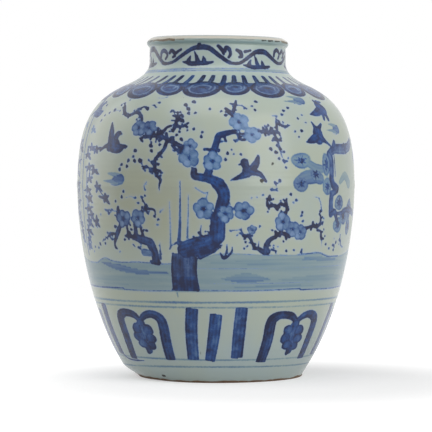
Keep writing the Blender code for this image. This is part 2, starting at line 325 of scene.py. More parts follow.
class Canvas:
    """Painted side of one piece: each layer holds the distance in mm to its brushwork's edge."""

    LAYERS = ("ink", "wash", "iron", "rust")

    def __init__(self, turn, rise, outline):
        self.turn = turn
        self.rise = rise
        self.outline = outline
        self.scale = math.radians(1.0) * outline.radius_mm(rise)
        self.painted = rise > BARE / 2
        self.low = rise[self.painted].min() if self.painted.any() else 0.0
        self.high = rise[self.painted].max() if self.painted.any() else 0.0
        self.order = np.argsort(rise, kind="stable")
        self.sorted_rise = rise[self.order]
        self.distance = {layer: np.full(len(turn), REACH) for layer in self.LAYERS}
        self.tone = {layer: np.zeros(len(turn)) for layer in self.LAYERS}
        self.violet = np.full(len(turn), 0.3)

    def degree(self, rise):
        """Width in mm of one degree at a rise."""
        return math.radians(1.0) * float(self.outline.radius_mm(rise))

    def near(self, centre, half_width, low, high):
        """Vertices in a patch of the wall; the half width is in degrees."""
        if high + REACH < self.low or low - REACH > self.high:
            return np.empty(0, int)
        margin = REACH / self.degree((low + high) / 2)
        first, last = np.searchsorted(self.sorted_rise, (low - REACH, high + REACH))
        which = self.order[first:last]
        return which[np.abs(between(self.turn[which], centre)) < half_width + margin * 1.3]

    def lay(self, layer, which, distance, tone, violet, over=False):
        """Keep a new stroke where its edge is nearer or it plainly covers; over tints what is there."""
        tone = np.broadcast_to(tone, distance.shape)
        if over:
            share = np.clip(-distance / COVERED, 0.0, 1.0)
            self.tone[layer][which] += share * (tone - self.tone[layer][which])
            return
        closer = (distance < self.distance[layer][which]) | (distance < -COVERED)
        chosen = which[closer]
        self.distance[layer][chosen] = distance[closer]
        self.tone[layer][chosen] = tone[closer]
        if layer in ("ink", "wash"):
            self.violet[chosen] = violet

    def stroke(self, points, widths, layer="ink", tone=0.9, violet=0.35, over=False, flat=False):
        """A brush stroke through (degrees, mm); widths in mm, one for all or one for each point."""
        path = flowing(points, widths)
        centre = (path[:, 0].min() + path[:, 0].max()) / 2
        half_width = (path[:, 0].max() - path[:, 0].min()) / 2 + path[:, 2].max() / 2
        which = self.near(centre, half_width, path[:, 1].min() - path[:, 2].max() / 2,
                          path[:, 1].max() + path[:, 2].max() / 2)
        if not len(which):
            return
        if len(path) == 1:
            path = np.concatenate([path, path])
        across = (path[:, None, 0] - centre - between(self.turn[which], centre)) * self.scale[which]
        up = path[:, None, 1] - self.rise[which]
        step_across, step_up = across[1:] - across[:-1], up[1:] - up[:-1]
        length = np.sqrt(np.maximum(step_across ** 2 + step_up ** 2, 1e-9))
        along = -(across[:-1] * step_across + up[:-1] * step_up) / length
        share = np.clip(along / length, 0.0, 1.0)
        half = (path[:-1, None, 2] + share * (path[1:, None, 2] - path[:-1, None, 2])) / 2
        distance = np.hypot(across[:-1] + share * step_across, up[:-1] + share * step_up) - half
        side = (step_up * across[:-1] - step_across * up[:-1]) / length
        if flat:
            # Square ends, where a flat brush was set down and lifted.
            for part, beyond in ((0, -along[0]), (-1, along[-1] - length[-1])):
                past = (beyond > 0.0) & (np.abs(side[part]) < 2.0 * half[part])
                distance[part, past] = (np.abs(side[part]) - half[part])[past]
                distance[:, past] = np.maximum(distance[:, past], beyond[past])
        nearest = (distance.argmin(axis=0), np.arange(len(which)))
        side, half = side[nearest], half[nearest]
        # A broad brush is loaded more to one side, and its hairs leave marks some 4 mm apart.
        sign = math.copysign(1.0, math.sin(3.7 * points[0][0] + 1.3 * points[0][1]))
        marks = sign * 0.1 * np.clip(side / half, -1.0, 1.0) + 0.07 * np.sin(side * 1.6 + points[0][1])
        tone = tone * (1.0 + marks * np.clip((half - 1.6) / 2.0, 0.0, 1.0))
        self.lay(layer, which, distance[nearest], tone, violet, over)

    def petal(self, place, wide, tall, lean=0.0, fill=0.4, rim=0.66, violet=0.2, layer="ink"):
        """An oval in mm, leaned anticlockwise, whose tone grows from a pale middle to a darker rim."""
        reach = max(wide, tall)
        scale = self.degree(place[1])
        which = self.near(place[0], reach / scale, place[1] - reach, place[1] + reach)
        if not len(which):
            return
        cosine, sine = math.cos(math.radians(lean)), math.sin(math.radians(lean))
        x = between(self.turn[which], place[0]) * self.scale[which]
        y = self.rise[which] - place[1]
        x, y = (x * cosine + y * sine) / wide, (y * cosine - x * sine) / tall
        phase = 3.1 * place[0] + place[1]
        out = np.hypot(x, y) * (1.0 + 0.05 * np.sin(3.0 * np.arctan2(y, x) + phase))
        edge = np.clip((out - 0.5) / 0.42, 0.0, 1.0) ** 2
        tone = fill + (rim - fill) * edge + 0.05 * np.sin(3.0 * x + phase)
        self.lay(layer, which, (out - 1.0) * min(wide, tall), tone, violet)

    def dots(self, places, width, tone=0.85, violet=0.35, layer="ink"):
        """Single touches of the brush at (degrees, mm), each pulled a little to one side."""
        for place in places:
            pull = math.sin(7.3 * place[0] + 3.1 * place[1])
            size = width * (1.12 + 0.22 * pull)
            tail = self.local(place, [(0.5 * width * pull, 0.42 * width * math.cos(5.0 * pull))])
            self.stroke([place] + tail, [size, 0.6 * size], layer, tone * (1.0 + 0.1 * pull), violet)

    def twig(self, points, widths, tone, violet):
        """A twig pressed out of short dabs: a stroke with spurs along it, to the left and right by turns."""
        self.stroke(points, 0.92 * np.array(widths, float), "ink", 1.05 * tone, violet + 0.1)
        path = flowing(points, widths)
        scale = self.degree(path[0, 1])
        run = np.diff(path[:, :2], axis=0) * (scale, 1.0)
        lengths = np.concatenate([[0.0], np.cumsum(np.hypot(*run.T))])
        travelled, side = 1.2, 1
        while travelled < lengths[-1]:
            turn, rise, width = (float(np.interp(travelled, lengths, column)) for column in path.T)
            part = min(int(np.searchsorted(lengths, travelled, side="right")) - 1, len(run) - 1)
            ahead = run[part] / max(float(np.hypot(*run[part])), 1e-6)
            chance = math.sin(12.9 * turn + 7.1 * rise)
            out = side * (0.62 + 0.34 * chance) * width
            spur = self.local((turn, rise), [(0.0, 0.0), (-ahead[1] * out + 0.5 * ahead[0] * chance * width,
                                                          ahead[0] * out + 0.5 * ahead[1] * chance * width)])
            self.stroke(spur, [0.84 * width, (0.52 + 0.16 * chance) * width], "ink",
                        tone * (1.0 + 0.12 * chance), violet)
            if chance > 0.3 and width > 2.3:
                # A bud beside the twig.
                far = out + side * (1.2 + 0.5 * width)
                self.dots(self.local((turn, rise), [(-ahead[1] * far, ahead[0] * far)]), 2.5, tone, violet)
            travelled += 2.3 + 0.42 * width + 1.1 * math.sin(5.7 * turn + rise)
            side = -side

    def local(self, place, shape, size=1.0, lean=0.0, mirror=1):
        """Points of a motif in mm about a place, leaned anticlockwise in degrees, as (degrees, mm)."""
        turn, rise = place
        cosine, sine = math.cos(math.radians(lean)), math.sin(math.radians(lean))
        scale = self.degree(rise)
        return [(turn + mirror * size * (x * cosine - y * sine) / scale,
                 rise + size * (x * sine + y * cosine))
                for x, y in shape]

    def ring(self, rise, width, tone, sway=0.0, phase=0.0, layer="ink", violet=0.2):
        """A line drawn round the whole jar, which sways up and down by some mm."""
        which = self.near(0.0, 200.0, rise - sway - width, rise + sway + width)
        turn = np.radians(self.turn[which])
        middle = rise + sway * (0.6 * np.sin(turn + phase) + 0.4 * np.sin(2 * turn + 2.3 * phase))
        half = width / 2 * (1.0 + 0.25 * np.sin(5 * turn + phase) * np.sin(3 * turn))
        distance = np.abs(self.rise[which] - middle) - half
        shade = tone * (1.0 + 0.2 * np.sin(3 * turn + phase) * np.sin(7 * turn + 2 * phase))
        self.lay(layer, which, distance, shade, violet)

    def band(self, tops, bottoms, tone, violet=0.1):
        """A wash between an upper and a lower edge, each through (degrees, mm) round the jar."""
        edges = []
        for edge in (tops, bottoms):
            turns, rises = np.array(edge, float).T
            smooth = np.interp(np.arange(0, 360, 1.0), turns % 360, rises, period=360)
            kernel = np.hanning(7) / np.hanning(7).sum()
            wrapped = np.convolve(np.concatenate([smooth[-3:], smooth, smooth[:3]]), kernel, "valid")
            edges.append(np.interp(self.turn % 360, np.arange(0, 360, 1.0), wrapped, period=360))
        distance = np.maximum(self.rise - edges[0], edges[1] - self.rise)
        which = np.nonzero((distance < REACH) & self.painted)[0]
        self.lay("wash", which, distance[which], tone, violet)

    def egg(self, centre, half_width, low, high, layer, tone, violet, tilt=0.0):
        """Distance to an oval; its half width is in degrees, so that it narrows with the wall."""
        which = self.near(centre, half_width, low, high)
        if not len(which):
            return
        middle, half_height = (low + high) / 2, (high - low) / 2
        up = (self.rise[which] - middle) / half_height
        across = (between(self.turn[which], centre) - tilt * up) / half_width
        size = np.minimum(half_width * self.scale[which], half_height)
        distance = (np.sqrt(across ** 2 + up ** 2) - 1.0) * size
        self.lay(layer, which, distance, tone, violet)

    def egg_line(self, centre, half_width, low, high, width, tone, violet, shrink=1.0,
                 tilt=0.0, part=(0, 360), over=False):
        """Outline of an oval, or an arc of it between two clock angles, drawn with the brush."""
        middle, half_height = (low + high) / 2, (high - low) / 2 * shrink
        angles = np.radians(np.linspace(*part, max(4, round((part[1] - part[0]) / 24))))
        points = [(centre + half_width * shrink * math.sin(angle) + tilt * math.cos(angle),
                   middle + half_height * math.cos(angle)) for angle in angles]
        self.stroke(points, width, "ink", tone, violet, over)


# Motifs of the painting.


def blossom(canvas, place, size=9.0, lean=0.0, tone=0.42, line=0.62, violet=0.2, petals=5):
    """Plum blossom seen from above: round petals that overlap, paler than their rims, and a dark heart."""
    for petal in range(petals):
        angle = lean + 360.0 / petals * petal
        broad = (0.51 + 0.05 * math.sin(9.0 * place[0] + 2.6 * petal)) * size
        out = (0.6 + 0.05 * math.sin(5.0 * place[1] + 1.9 * petal)) * size
        middle = canvas.local(place, [(0.0, out)], lean=angle)[0]
        canvas.petal(middle, broad, 0.9 * broad, angle,
                     tone + 0.05 + 0.06 * math.sin(2.3 * petal), line, violet)
    for petal in range(petals):
        gap = canvas.local(place, [(0.0, 0.0), (0.0, 0.42 * size)],
                           lean=lean + 360.0 / petals * (petal + 0.5))
        canvas.stroke(gap, [0.26 * size, 0.08 * size], "ink", 0.9, violet)
    canvas.stroke([place], 0.3 * size, "ink", 1.0, violet + 0.1)


def leaf_star(canvas, place, size, tone):
    """Bamboo leaves crossed over one another like a small star."""
    for index in range(5):
        angle = math.radians(72.0 * index + 24.0 + 16.0 * math.sin(place[1] + 2.0 * index))
        reach = size * (0.95 + 0.3 * math.sin(0.7 * place[1] + 2.4 * index))
        x, y = 1.8 * reach * math.cos(angle), 1.0 * reach * math.sin(angle)
        canvas.stroke(canvas.local(place, [(-0.2 * x, -0.2 * y), (0.5 * x, 0.5 * y), (x, y)]),
                      [1.8, 2.4 + 2.2 * abs(math.sin(angle)), 0.8], "ink", tone + 0.06, -0.1)


def needle_clump(canvas, place, wide=9.0, tall=7.0, tone=0.45, violet=0.15, heart=(0.0, -0.1)):
    """Pine needles: a washed oval with a darker rim, and needles that spread from a dark heart."""
    canvas.petal(place, 1.08 * wide, 1.08 * tall, 0.0, tone - 0.04, tone + 0.06, violet, "wash")
    eye = canvas.local(place, [(heart[0] * wide, heart[1] * tall)])[0]
    for index in range(15):
        angle = math.radians(24.0 * (index + 0.3 * math.sin(3.0 * index)))
        reach = 0.78 + 0.2 * math.sin(4.0 * index + place[1])
        tip = canvas.local(place, [(reach * wide * math.cos(angle), reach * tall * math.sin(angle))])[0]
        canvas.stroke([eye, ((eye[0] + tip[0]) / 2, (eye[1] + tip[1]) / 2), tip], [2.4, 1.6, 0.8], "ink",
                      tone + 0.16 + 0.14 * (index % 2), violet)
    middle = canvas.local(eye, [(0.0, -0.28 * tall), (0.0, 0.28 * tall)])
    canvas.stroke(middle, [0.26 * wide, 0.2 * wide], "ink", 0.95, violet + 0.2)


def cloud(canvas, place, size=10.0, mirror=1, tone=0.45):
    """Scroll of cloud: a soft dark head, and two pulls of the brush that fade out behind it."""
    for points, widths, shade, layer in (
            (((-1.3, 0.62), (-0.5, 0.55), (0.35, 0.36)), (0.14, 0.42, 0.6), -0.06, "wash"),
            (((-2.0, -0.16), (-0.8, -0.2), (0.3, -0.3)), (0.1, 0.4, 0.7), 0.0, "wash"),
            (((-0.4, 0.0), (0.2, 0.04), (0.72, 0.0)), (0.3, 0.9, 1.15), 0.18, "wash"),
            (((-0.7, -0.5), (0.1, -0.62), (0.8, -0.42), (1.1, 0.1)), (0.08, 0.12, 0.16, 0.1), 0.12, "ink")):
        line = canvas.local(place, points, size, mirror=mirror)
        canvas.stroke(line, [width * size for width in widths], layer, tone + shade, 0.3)


def bird(canvas, place, parts, tone=0.92, violet=0.4, mirror=1, size=1.0):
    """Small flying bird of a few pressed strokes: each part is points in mm and its widths."""
    for points, widths in parts:
        widths = np.array(widths, float) * size
        canvas.stroke(canvas.local(place, points, size, mirror=mirror), widths, "ink",
                      1.12 * tone, violet - 0.35)


# Birds by their strokes, in mm about the breast: (points, widths).
RISING_BIRD = (
    (((1, 4), (5, 11), (8, 12)), (8, 7, 5)),
    (((8, 12), (12, 11)), (3, 1)),
    (((-6, -3), (-2, 0), (4, 0)), (9, 12, 12)),
    (((-4, 3), (-6, 14), (-9, 24)), (11, 8, 2)),
    (((0, -3), (10, -4), (18, -1)), (11, 10, 2)),
    (((-5, 0), (-14, -2), (-22, -6)), (6, 4, 3)),
)
GLIDING_BIRD = (
    (((-2, 4), (-6, 12), (-5, 13)), (8, 8, 7)),
    (((-8, 11), (-12, 10)), (3, 1.5)),
    (((-3, 3), (2, 4)), (11, 10)),
    (((2, 5), (7, 12), (9, 19)), (9, 7, 3)),
    (((-3, 1), (-12, -3), (-20, -6)), (9, 5, 1.5)),
    (((2, 3), (11, 0), (17, -7)), (8, 5, 3)),
)
STOOPING_BIRD = (
    (((-2, 8), (-6, 15)), (6, 2)),
    (((3, 8), (9, 13)), (6, 3)),
    (((0, 3), (0, -1)), (15, 17)),
    (((-4, -2), (-12, -5), (-19, -7)), (11, 7, 1.5)),
    (((3, -2), (11, -6), (18, -10)), (9, 4, 2.5)),
)
FAR_BIRD = (
    (((-4, 12), (-1, 6)), (3, 6)),
    (((2, 10), (10, 10)), (6, 2)),
    (((0, 4), (4, 0)), (13, 14)),
    (((-2, -1), (-12, -5), (-22, -7)), (11, 8, 2)),
    (((0, -6), (-2, -12)), (5, 4)),
    (((5, -5), (6, -12)), (6, 5)),
)


def placed(points, at, mirror):
    """Points of a plant that is laid out about 0 degrees, moved to its place and turned over if asked."""
    return [(at + mirror * turn, rise) for turn, rise in points]


def branch(canvas, path, widths, tone, violet, **how):
    """A middling stroke is broken into dabs as a twig; thinner and thicker ones are drawn plain."""
    dabbed = TWIG_WIDTHS[0] < np.max(widths) < TWIG_WIDTHS[1] and not how
    draw = canvas.twig if dabbed else canvas.stroke
    draw(path, widths, tone=tone, violet=violet, **how)


def plum_tree(canvas, at=0.0, mirror=1):
    """Old plum with a square trunk, a bent bough, and twigs set with buds and blossoms."""

    def stroke(points, widths, tone=0.9, violet=0.3, **how):
        branch(canvas, placed(points, at, mirror), widths, tone, violet, **how)

    def grass(points, widths, tone, violet):
        canvas.stroke(placed(points, at, mirror), widths, "ink", tone, violet)

    def flower(turn, rise, size, lean=0.0, **looks):
        blossom(canvas, (at + mirror * turn, rise), size, lean, **looks)

    def buds(places, width, tone=0.85):
        canvas.dots(placed(places, at, mirror), 1.12 * width, tone + 0.08, 0.65)

    # Trunk, with the brush pulled in square strokes.
    for edge in (-16.4, -13.2, -10.2):
        stroke([(edge, 106), (edge, 128), (edge + 0.4, 146)], [11.5, 11.5, 11], 0.84, 0.6, flat=True)
        stroke([(edge, 106), (edge, 122)], [11, 10], 0.98, 0.2, flat=True)
    stroke([(-18.5, 106.6), (-18.4, 130), (-17.6, 147)], 2.4, 1.04, 0.5, flat=True)
    stroke([(-7.6, 106.6), (-8.4, 125), (-8, 142)], [4, 3, 3], 1.04, 0.3, flat=True)
    buds([(-18.3, 107.4), (-7.7, 107.4)], 3.4, 1.0)
    stroke([(-12, 150), (-7, 154), (-2.5, 157), (0.3, 165)], [19, 20, 17, 16], 1.0, 0.0)
    stroke([(-11, 152), (-6, 163), (-2.6, 166), (-2, 176)], [3, 3, 2.4, 2], 0.98, 0.3)
    stroke([(-6.5, 142), (-1, 148), (2.4, 155)], [5, 3, 2], 0.95, 0.2)
    stroke([(0.6, 164), (0.8, 176), (0.6, 184)], [16, 15.5, 14], 0.98, 0.0)
    stroke([(0.6, 184), (2.2, 196), (3.2, 206), (2.2, 214), (0.4, 219)], [10, 12.5, 12.5, 13, 12], 1.0, 0.0)
    stroke([(1.4, 219), (-2.6, 223.6), (-6.6, 225.6)], [11, 9, 8], 0.94, 0.05)
    stroke([(-6.5, 225.5), (-8.4, 227), (-8.4, 235)], [8, 7.5, 6], 0.92, 0.7, flat=True)
    stroke([(-3.2, 226), (-2.6, 236)], [9, 6.4], 0.95, 0.2, flat=True)
    stroke([(4.6, 208), (5.4, 197)], [2, 1.4], 0.98, 0.1)
    stroke([(-6.2, 165), (-5.8, 176)], [2.2, 1.2], 0.85, 0.4)

    # Upper trunk behind the blossoms and the crown's right bough.
    stroke([(-2.2, 229), (-1.6, 240), (-1, 252)], [5, 5, 5.5], 0.94, -0.1)
    stroke([(-0.8, 252), (0.4, 262), (1.2, 268), (3.6, 270.5), (7, 272.5)], [7, 6.8, 7, 6.4, 5], 0.98, -0.1)
    stroke([(-4.4, 254), (-1.5, 253.5), (1, 253)], [3.5, 3, 4.5], 1.0, 0.05)
    stroke([(3.2, 268), (4.2, 262)], [3.6, 2], 0.9, 0.05)
    stroke([(6.6, 273), (8.6, 270), (9.6, 265), (11.6, 264), (12, 266.5)], [4, 3, 3.4, 3, 2], 0.92, 0.2)
    stroke([(9, 269.5), (11, 270.5)], [2.4, 2], 0.85, 0.2)
    stroke([(7.2, 263.5), (9, 264)], [2, 2.4], 0.8, 0.3)
    stroke([(7, 290), (6.6, 294), (4.4, 298.5)], [4, 3.6, 4], 0.98, 0.4)
    stroke([(7, 292), (8, 299), (8.6, 304), (9.2, 309)], [4, 4, 3.6, 2.4], 0.92, 0.2)
    stroke([(6.4, 305), (8.6, 304)], [2, 3], 0.85, 0.3)
    stroke([(9, 303), (11.4, 302.5), (13.4, 298.5)], [2, 1.6, 2.4], 0.72, 0.4)
    stroke([(12.4, 277), (15, 276), (18, 274)], [1, 1.6, 3], 0.7, 0.4)
    stroke([(17.6, 273.5), (21, 272), (24, 273), (26.6, 271.5)], [3.4, 4, 4, 3.4], 0.82, 0.75)
    stroke([(19.4, 277.5), (20, 272), (20.4, 268.5)], [2.2, 3, 2.6], 0.85, 0.7)
    stroke([(23.4, 277), (24, 271), (25.4, 264.5)], [2, 3, 3], 0.8, 0.7)
    stroke([(23.6, 264.5), (27, 263.5)], [3.4, 3.2], 0.82, 0.6)
    stroke([(25.8, 275), (26, 283), (26.4, 290)], [3, 3.2, 1], 0.82, 0.6)
    stroke([(27.2, 285), (28, 279.5), (30, 278.5), (32, 280)], [2.4, 2.4, 3.4, 2], 0.82, 0.6)
    stroke([(24.6, 290.5), (27, 290.5)], [1.2, 1.6], 0.6, 0.5)
    stroke([(25.4, 263), (26.2, 255), (27, 246)], [1.6, 2.4, 1.2], 0.7, 0.5)

    # Crown's left bough, twisting away to the left.
    stroke([(-13, 256), (-16, 260), (-20, 265), (-23, 268), (-26.5, 268.5), (-30, 267)],
           [5, 5, 5, 5, 4.6, 4], 0.86, 0.65)
    stroke([(-30.4, 268), (-31.6, 265), (-30.8, 262.6)], [3, 3.4, 2.6], 0.95, 0.6)
    stroke([(-24.4, 266), (-24.6, 261.5)], [2.2, 1.6], 0.85, 0.6)
    stroke([(-22.6, 270), (-20.4, 277), (-18.6, 279)], [4, 3.4, 3], 0.9, 0.65)
    stroke([(-24.4, 272), (-21.4, 273)], [2.4, 2], 0.85, 0.6)
    stroke([(-17.6, 273.5), (-17, 278), (-16.4, 287), (-16.4, 294.5)], [4, 4, 4, 2], 0.9, 0.6)
    stroke([(-18.6, 285), (-15, 284.5)], [2, 1.6], 0.8, 0.6)
    stroke([(-18.4, 290.5), (-16, 289), (-14.6, 291), (-14.2, 289)], [2.4, 2, 3.4, 3], 0.9, 0.6)
    stroke([(-19.4, 296), (-16.6, 294), (-15.4, 295)], [2, 1.4, 2], 0.85, 0.6)
    stroke([(-16.6, 278), (-13.6, 278.5), (-11.4, 282)], [3, 3.6, 2.6], 0.9, 0.6)
    stroke([(-18.4, 266.5), (-17, 264.5)], [3, 2], 0.85, 0.5)
    stroke([(-17.6, 258), (-14.6, 251.5), (-12.6, 251)], [3, 3.6, 4], 0.92, 0.5)
    stroke([(-19.8, 262), (-20.6, 256), (-22, 250.5), (-24.2, 245)], [4, 4.4, 4.2, 4], 0.92, 0.6)
    stroke([(-24.2, 245), (-25, 240), (-24.6, 235.5), (-24, 230), (-23.4, 226)],
           [4, 4.6, 4, 3.4, 3], 0.93, 0.5)
    stroke([(-23.4, 226), (-22, 222.6), (-22.4, 218), (-22.7, 211)], [3, 3.6, 2.6, 0.8], 0.92, 0.45)
    stroke([(-21.6, 246), (-23.4, 249)], [2.4, 2], 0.85, 0.5)
    stroke([(-26, 240), (-23, 238.5)], [3, 3.4], 0.9, 0.5)
    stroke([(-25, 234), (-27, 234.5), (-28.4, 236.5), (-29.8, 234)], [2.6, 2, 3.2, 2.6], 0.88, 0.5)
    stroke([(-26, 231), (-23.8, 233), (-22.4, 231.5)], [3, 2.4, 3], 0.9, 0.5)
    stroke([(-36, 294.5), (-33.6, 290.5), (-32.6, 285.5)], [3.6, 4, 3], 0.9, 0.5)
    stroke([(-34.6, 293), (-37, 294.8), (-40.4, 291.6), (-43.2, 293.6), (-45, 299), (-45.8, 303)],
           [3.6, 4, 4.4, 4.4, 5, 4], 0.93, 0.35)
    stroke([(-45.6, 302), (-47, 308)], [2, 2.6], 0.85, 0.35)
    stroke([(-36.6, 294.5), (-35.8, 299), (-33.4, 302), (-31.8, 300)], [2.4, 3.4, 2, 3], 0.88, 0.5)
    stroke([(-36.8, 299.5), (-35, 298.5)], 2.4, 0.85, 0.5)
    stroke([(-30, 303.5), (-28.6, 303.8), (-27.4, 300)], [0.8, 2, 1.4], 0.78, 0.5)

    # Buds and dabs of lichen.
    buds([(-31.6, 299.6), (-26.4, 307), (-19.2, 296.3), (-13.5, 303.6), (-12, 298.6), (-10, 307.6)], 3.2)
    buds([(-11.6, 293), (-8.6, 293.6), (-9, 275.5), (-5.4, 272), (-5.8, 267), (-13.9, 264.6)], 2.8)
    buds([(-26.8, 258), (-26.3, 252.6), (-34, 253), (-34.6, 247), (-39.2, 257), (-34, 242.4)], 3.0)
    buds([(-37, 243), (-31.4, 242.6), (-37.6, 236.6), (-40.5, 238.6), (-41.5, 233.6)], 3.4)
    buds([(2.4, 295.6), (-2.6, 298), (16.2, 302), (17.2, 297), (18.4, 308), (34.4, 273.4), (37.8, 274.2)],
         2.6, 0.78)
    buds([(36, 267.6), (29.4, 292), (30.8, 296.8), (33.6, 300.4), (40.2, 292), (37.4, 287.8), (41.2, 283.4)],
         2.4, 0.72)
    buds([(24.4, 251), (28, 251.4), (26.3, 255), (22.2, 254.6), (25.7, 244.4), (4.6, 249.6), (3.8, 243.4)],
         2.8, 0.82)
    buds([(6.3, 253.6), (7, 249), (9.8, 248.8), (28.6, 235.4), (-47.6, 297.6), (-44.8, 312)], 2.0, 0.62)
    buds([(-51.8, 299), (-55, 295.6), (-58.2, 293), (-59.4, 287), (-62, 306)], 3.0, 0.75)
    stroke([(-51.8, 299), (-48, 297.8)], 0.8, 0.5)
    stroke([(27.6, 242.6), (28, 241)], 3.6, 0.72, 0.3)
    stroke([(-28.4, 314), (-25.6, 313.6), (-23.4, 315)], [1, 0.8, 1.6], 0.5, 0.3)

    # Blossoms.
    flower(-33.6, 277, 8.8, 10, tone=0.5, line=0.74, violet=0.5)
    flower(-28.2, 277, 8.2, 40, tone=0.52, line=0.76, violet=0.5)
    flower(-10.6, 245.4, 10.4, 20, tone=0.44, line=0.66, violet=0.2)
    flower(-10.2, 257.6, 7.2, -10, tone=0.42, line=0.62, violet=0.3)
    flower(-1.2, 242, 10.0, 0, tone=0.44, line=0.66, violet=0.1)
    flower(-4.8, 192.4, 10.6, 4, tone=0.45, line=0.72, violet=0.15)
    flower(3.8, 188, 9.0, 30, tone=0.46, line=0.74, violet=0.15)
    flower(11.0, 190.8, 10.0, -16, tone=0.48, line=0.74, violet=0.2)
    flower(9.6, 283, 10.0, 14, tone=0.44, line=0.5, violet=0.05)
    flower(14.6, 269.6, 9.0, 40, tone=0.42, line=0.5, violet=0.05)
    stroke([(-5.6, 203), (-3.8, 204), (-3, 210)], [1.4, 1.6, 0.8], 0.7, 0.2)
    grass([(-8, 214.4), (-6.4, 211.6), (-4.4, 208.8), (-2.8, 210.4)], [1.6, 1.2, 1.6, 1], 0.46, 0.2)

    # Stalks of young bamboo and a tuft of grass by the root.
    grass([(-18.3, 200), (-18.2, 176), (-18.5, 154)], [0.9, 1.5, 1.9], 0.55, 0.2)
    grass([(-14, 221), (-14, 200), (-14.3, 175), (-15, 157)], [1.2, 1.8, 3, 4], 0.78, 0.25)
    grass([(-10.7, 207), (-10.9, 185), (-11.4, 162)], [0.9, 1.5, 2.2], 0.58, 0.2)
    grass([(-19, 151), (-17.6, 155), (-14.8, 158), (-12.6, 157)], [2, 1.4, 3, 2], 0.85, 0.4)
    grass([(1.8, 147), (3.2, 141.6), (5, 143.6), (6.4, 148), (6.6, 153)], [1.6, 4, 2.6, 2.2, 1.2], 0.92, 0.1)
    grass([(3.6, 142), (4.4, 148), (4.4, 156)], [2, 2.2, 0.8], 0.9, 0.1)
    canvas.stroke([(at + mirror * -17, 104), (at - mirror * 16.8, 99)], [2, 0.8], "wash", 0.4, 0.2)


def small_plum_left(canvas, at=0.0, mirror=1):
    """Young plum at the foot of the bank, with a forked stem."""

    def stroke(points, widths, tone=0.92, violet=0.5):
        branch(canvas, placed(points, at, mirror), widths, tone, violet)

    stroke([(-27.6, 136.6), (-24.4, 136)], [4.6, 6], 0.95)
    stroke([(-25.6, 138), (-25.6, 146), (-27, 154), (-27.4, 158)], [9, 8, 10, 8], 0.9)
    stroke([(-30.6, 147), (-28, 146)], [8, 7], 0.62, 0.3)
    stroke([(-28, 158), (-31.4, 160.4), (-34.6, 162.6)], [9, 9, 7], 0.96)
    stroke([(-34.2, 164), (-34, 170), (-34.6, 176)], [6, 5, 3], 0.9)
    stroke([(-30.4, 162), (-31, 168), (-31.8, 175)], [4, 3.4, 3], 0.88)
    stroke([(-35, 163), (-37.6, 164), (-38.2, 170), (-38.4, 176)], [4, 4.6, 3, 2.6], 0.93)
    stroke([(-38, 160.6), (-38, 165)], [3, 3], 0.93)
    stroke([(-42, 174.5), (-43.6, 168), (-45, 162), (-46.2, 156), (-46, 151.6), (-45, 150)],
           [5, 6, 5, 3, 3.4, 2], 0.95, 0.4)
    stroke([(-44.4, 165), (-47.4, 166), (-49.6, 163), (-54.6, 157.6)], [3, 3.4, 2.6, 0.9], 0.9, 0.3)
    stroke([(-49.2, 166), (-48.4, 160.6)], [2.6, 2], 0.88, 0.3)
    stroke([(-23.2, 158), (-23.2, 148), (-23.2, 140)], [0.8, 2, 2.4], 0.8, 0.4)
    stroke([(-33.4, 152), (-32.2, 150)], [3, 2], 0.8, 0.4)
    stroke([(-36, 155), (-35, 152.6)], [2, 1.6], 0.62, 0.4)
    stroke([(-28.4, 196), (-29.2, 191.6), (-27, 192.6), (-24.8, 191), (-24.6, 187)],
           [4, 3.4, 3, 2.6, 1.2], 0.92)
    stroke([(-30.6, 205), (-29.6, 200), (-28.6, 196)], [3, 1.6, 3], 0.85)
    stroke([(-30.6, 191), (-30.2, 187), (-31.4, 183)], [2.6, 3, 2], 0.9)
    stroke([(-28.4, 189), (-27.6, 187.4)], [2.4, 2.6], 0.88)
    stroke([(-42.6, 194), (-43, 190), (-41.4, 188)], [3.6, 3.6, 2.4], 0.9, 0.3)
    stroke([(-51, 191.6), (-49.6, 190.4), (-45, 190.2), (-42.6, 189)], [1.6, 2.6, 1.2, 1.6], 0.75, 0.3)
    stroke([(-38.4, 204), (-36, 205.2), (-34, 204)], [0.8, 0.8, 1.4], 0.55, 0.3)
    stroke([(-22.4, 189), (-20.6, 193.6)], [2, 0.8], 0.6, 0.3)
    stroke([(-28.2, 220), (-29.2, 216), (-28.8, 212)], [2, 1.2, 2.6], 0.6, 0.3)
    buds = [(-33.4, 204), (-32, 198.6), (-39.4, 210.4), (-40.4, 204.6), (-44, 200),
            (-24.8, 185), (-23.2, 181.6)]
    canvas.dots(placed(buds, at, mirror), 3.2, 0.95, 0.3)
    dabs = [(-56.7, 154.6), (-52.6, 155.2), (-61.6, 151), (-45, 173.4), (-48.4, 187.4), (-46.2, 191.4)]
    canvas.dots(placed(dabs, at, mirror), 3.0, 0.85, 0.3)
    faint = [(-58.4, 150.2), (-63, 146), (-43.6, 147), (-54, 186), (-23.8, 176), (-57.6, 172)]
    canvas.dots(placed(faint, at, mirror), 2.4, 0.55, 0.3)
    blossom(canvas, (at + mirror * -40, 182), 9.6, 10, tone=0.52, line=0.86, violet=0.45)
    blossom(canvas, (at + mirror * -32.6, 183), 9.0, 30, tone=0.5, line=0.8, violet=0.45)


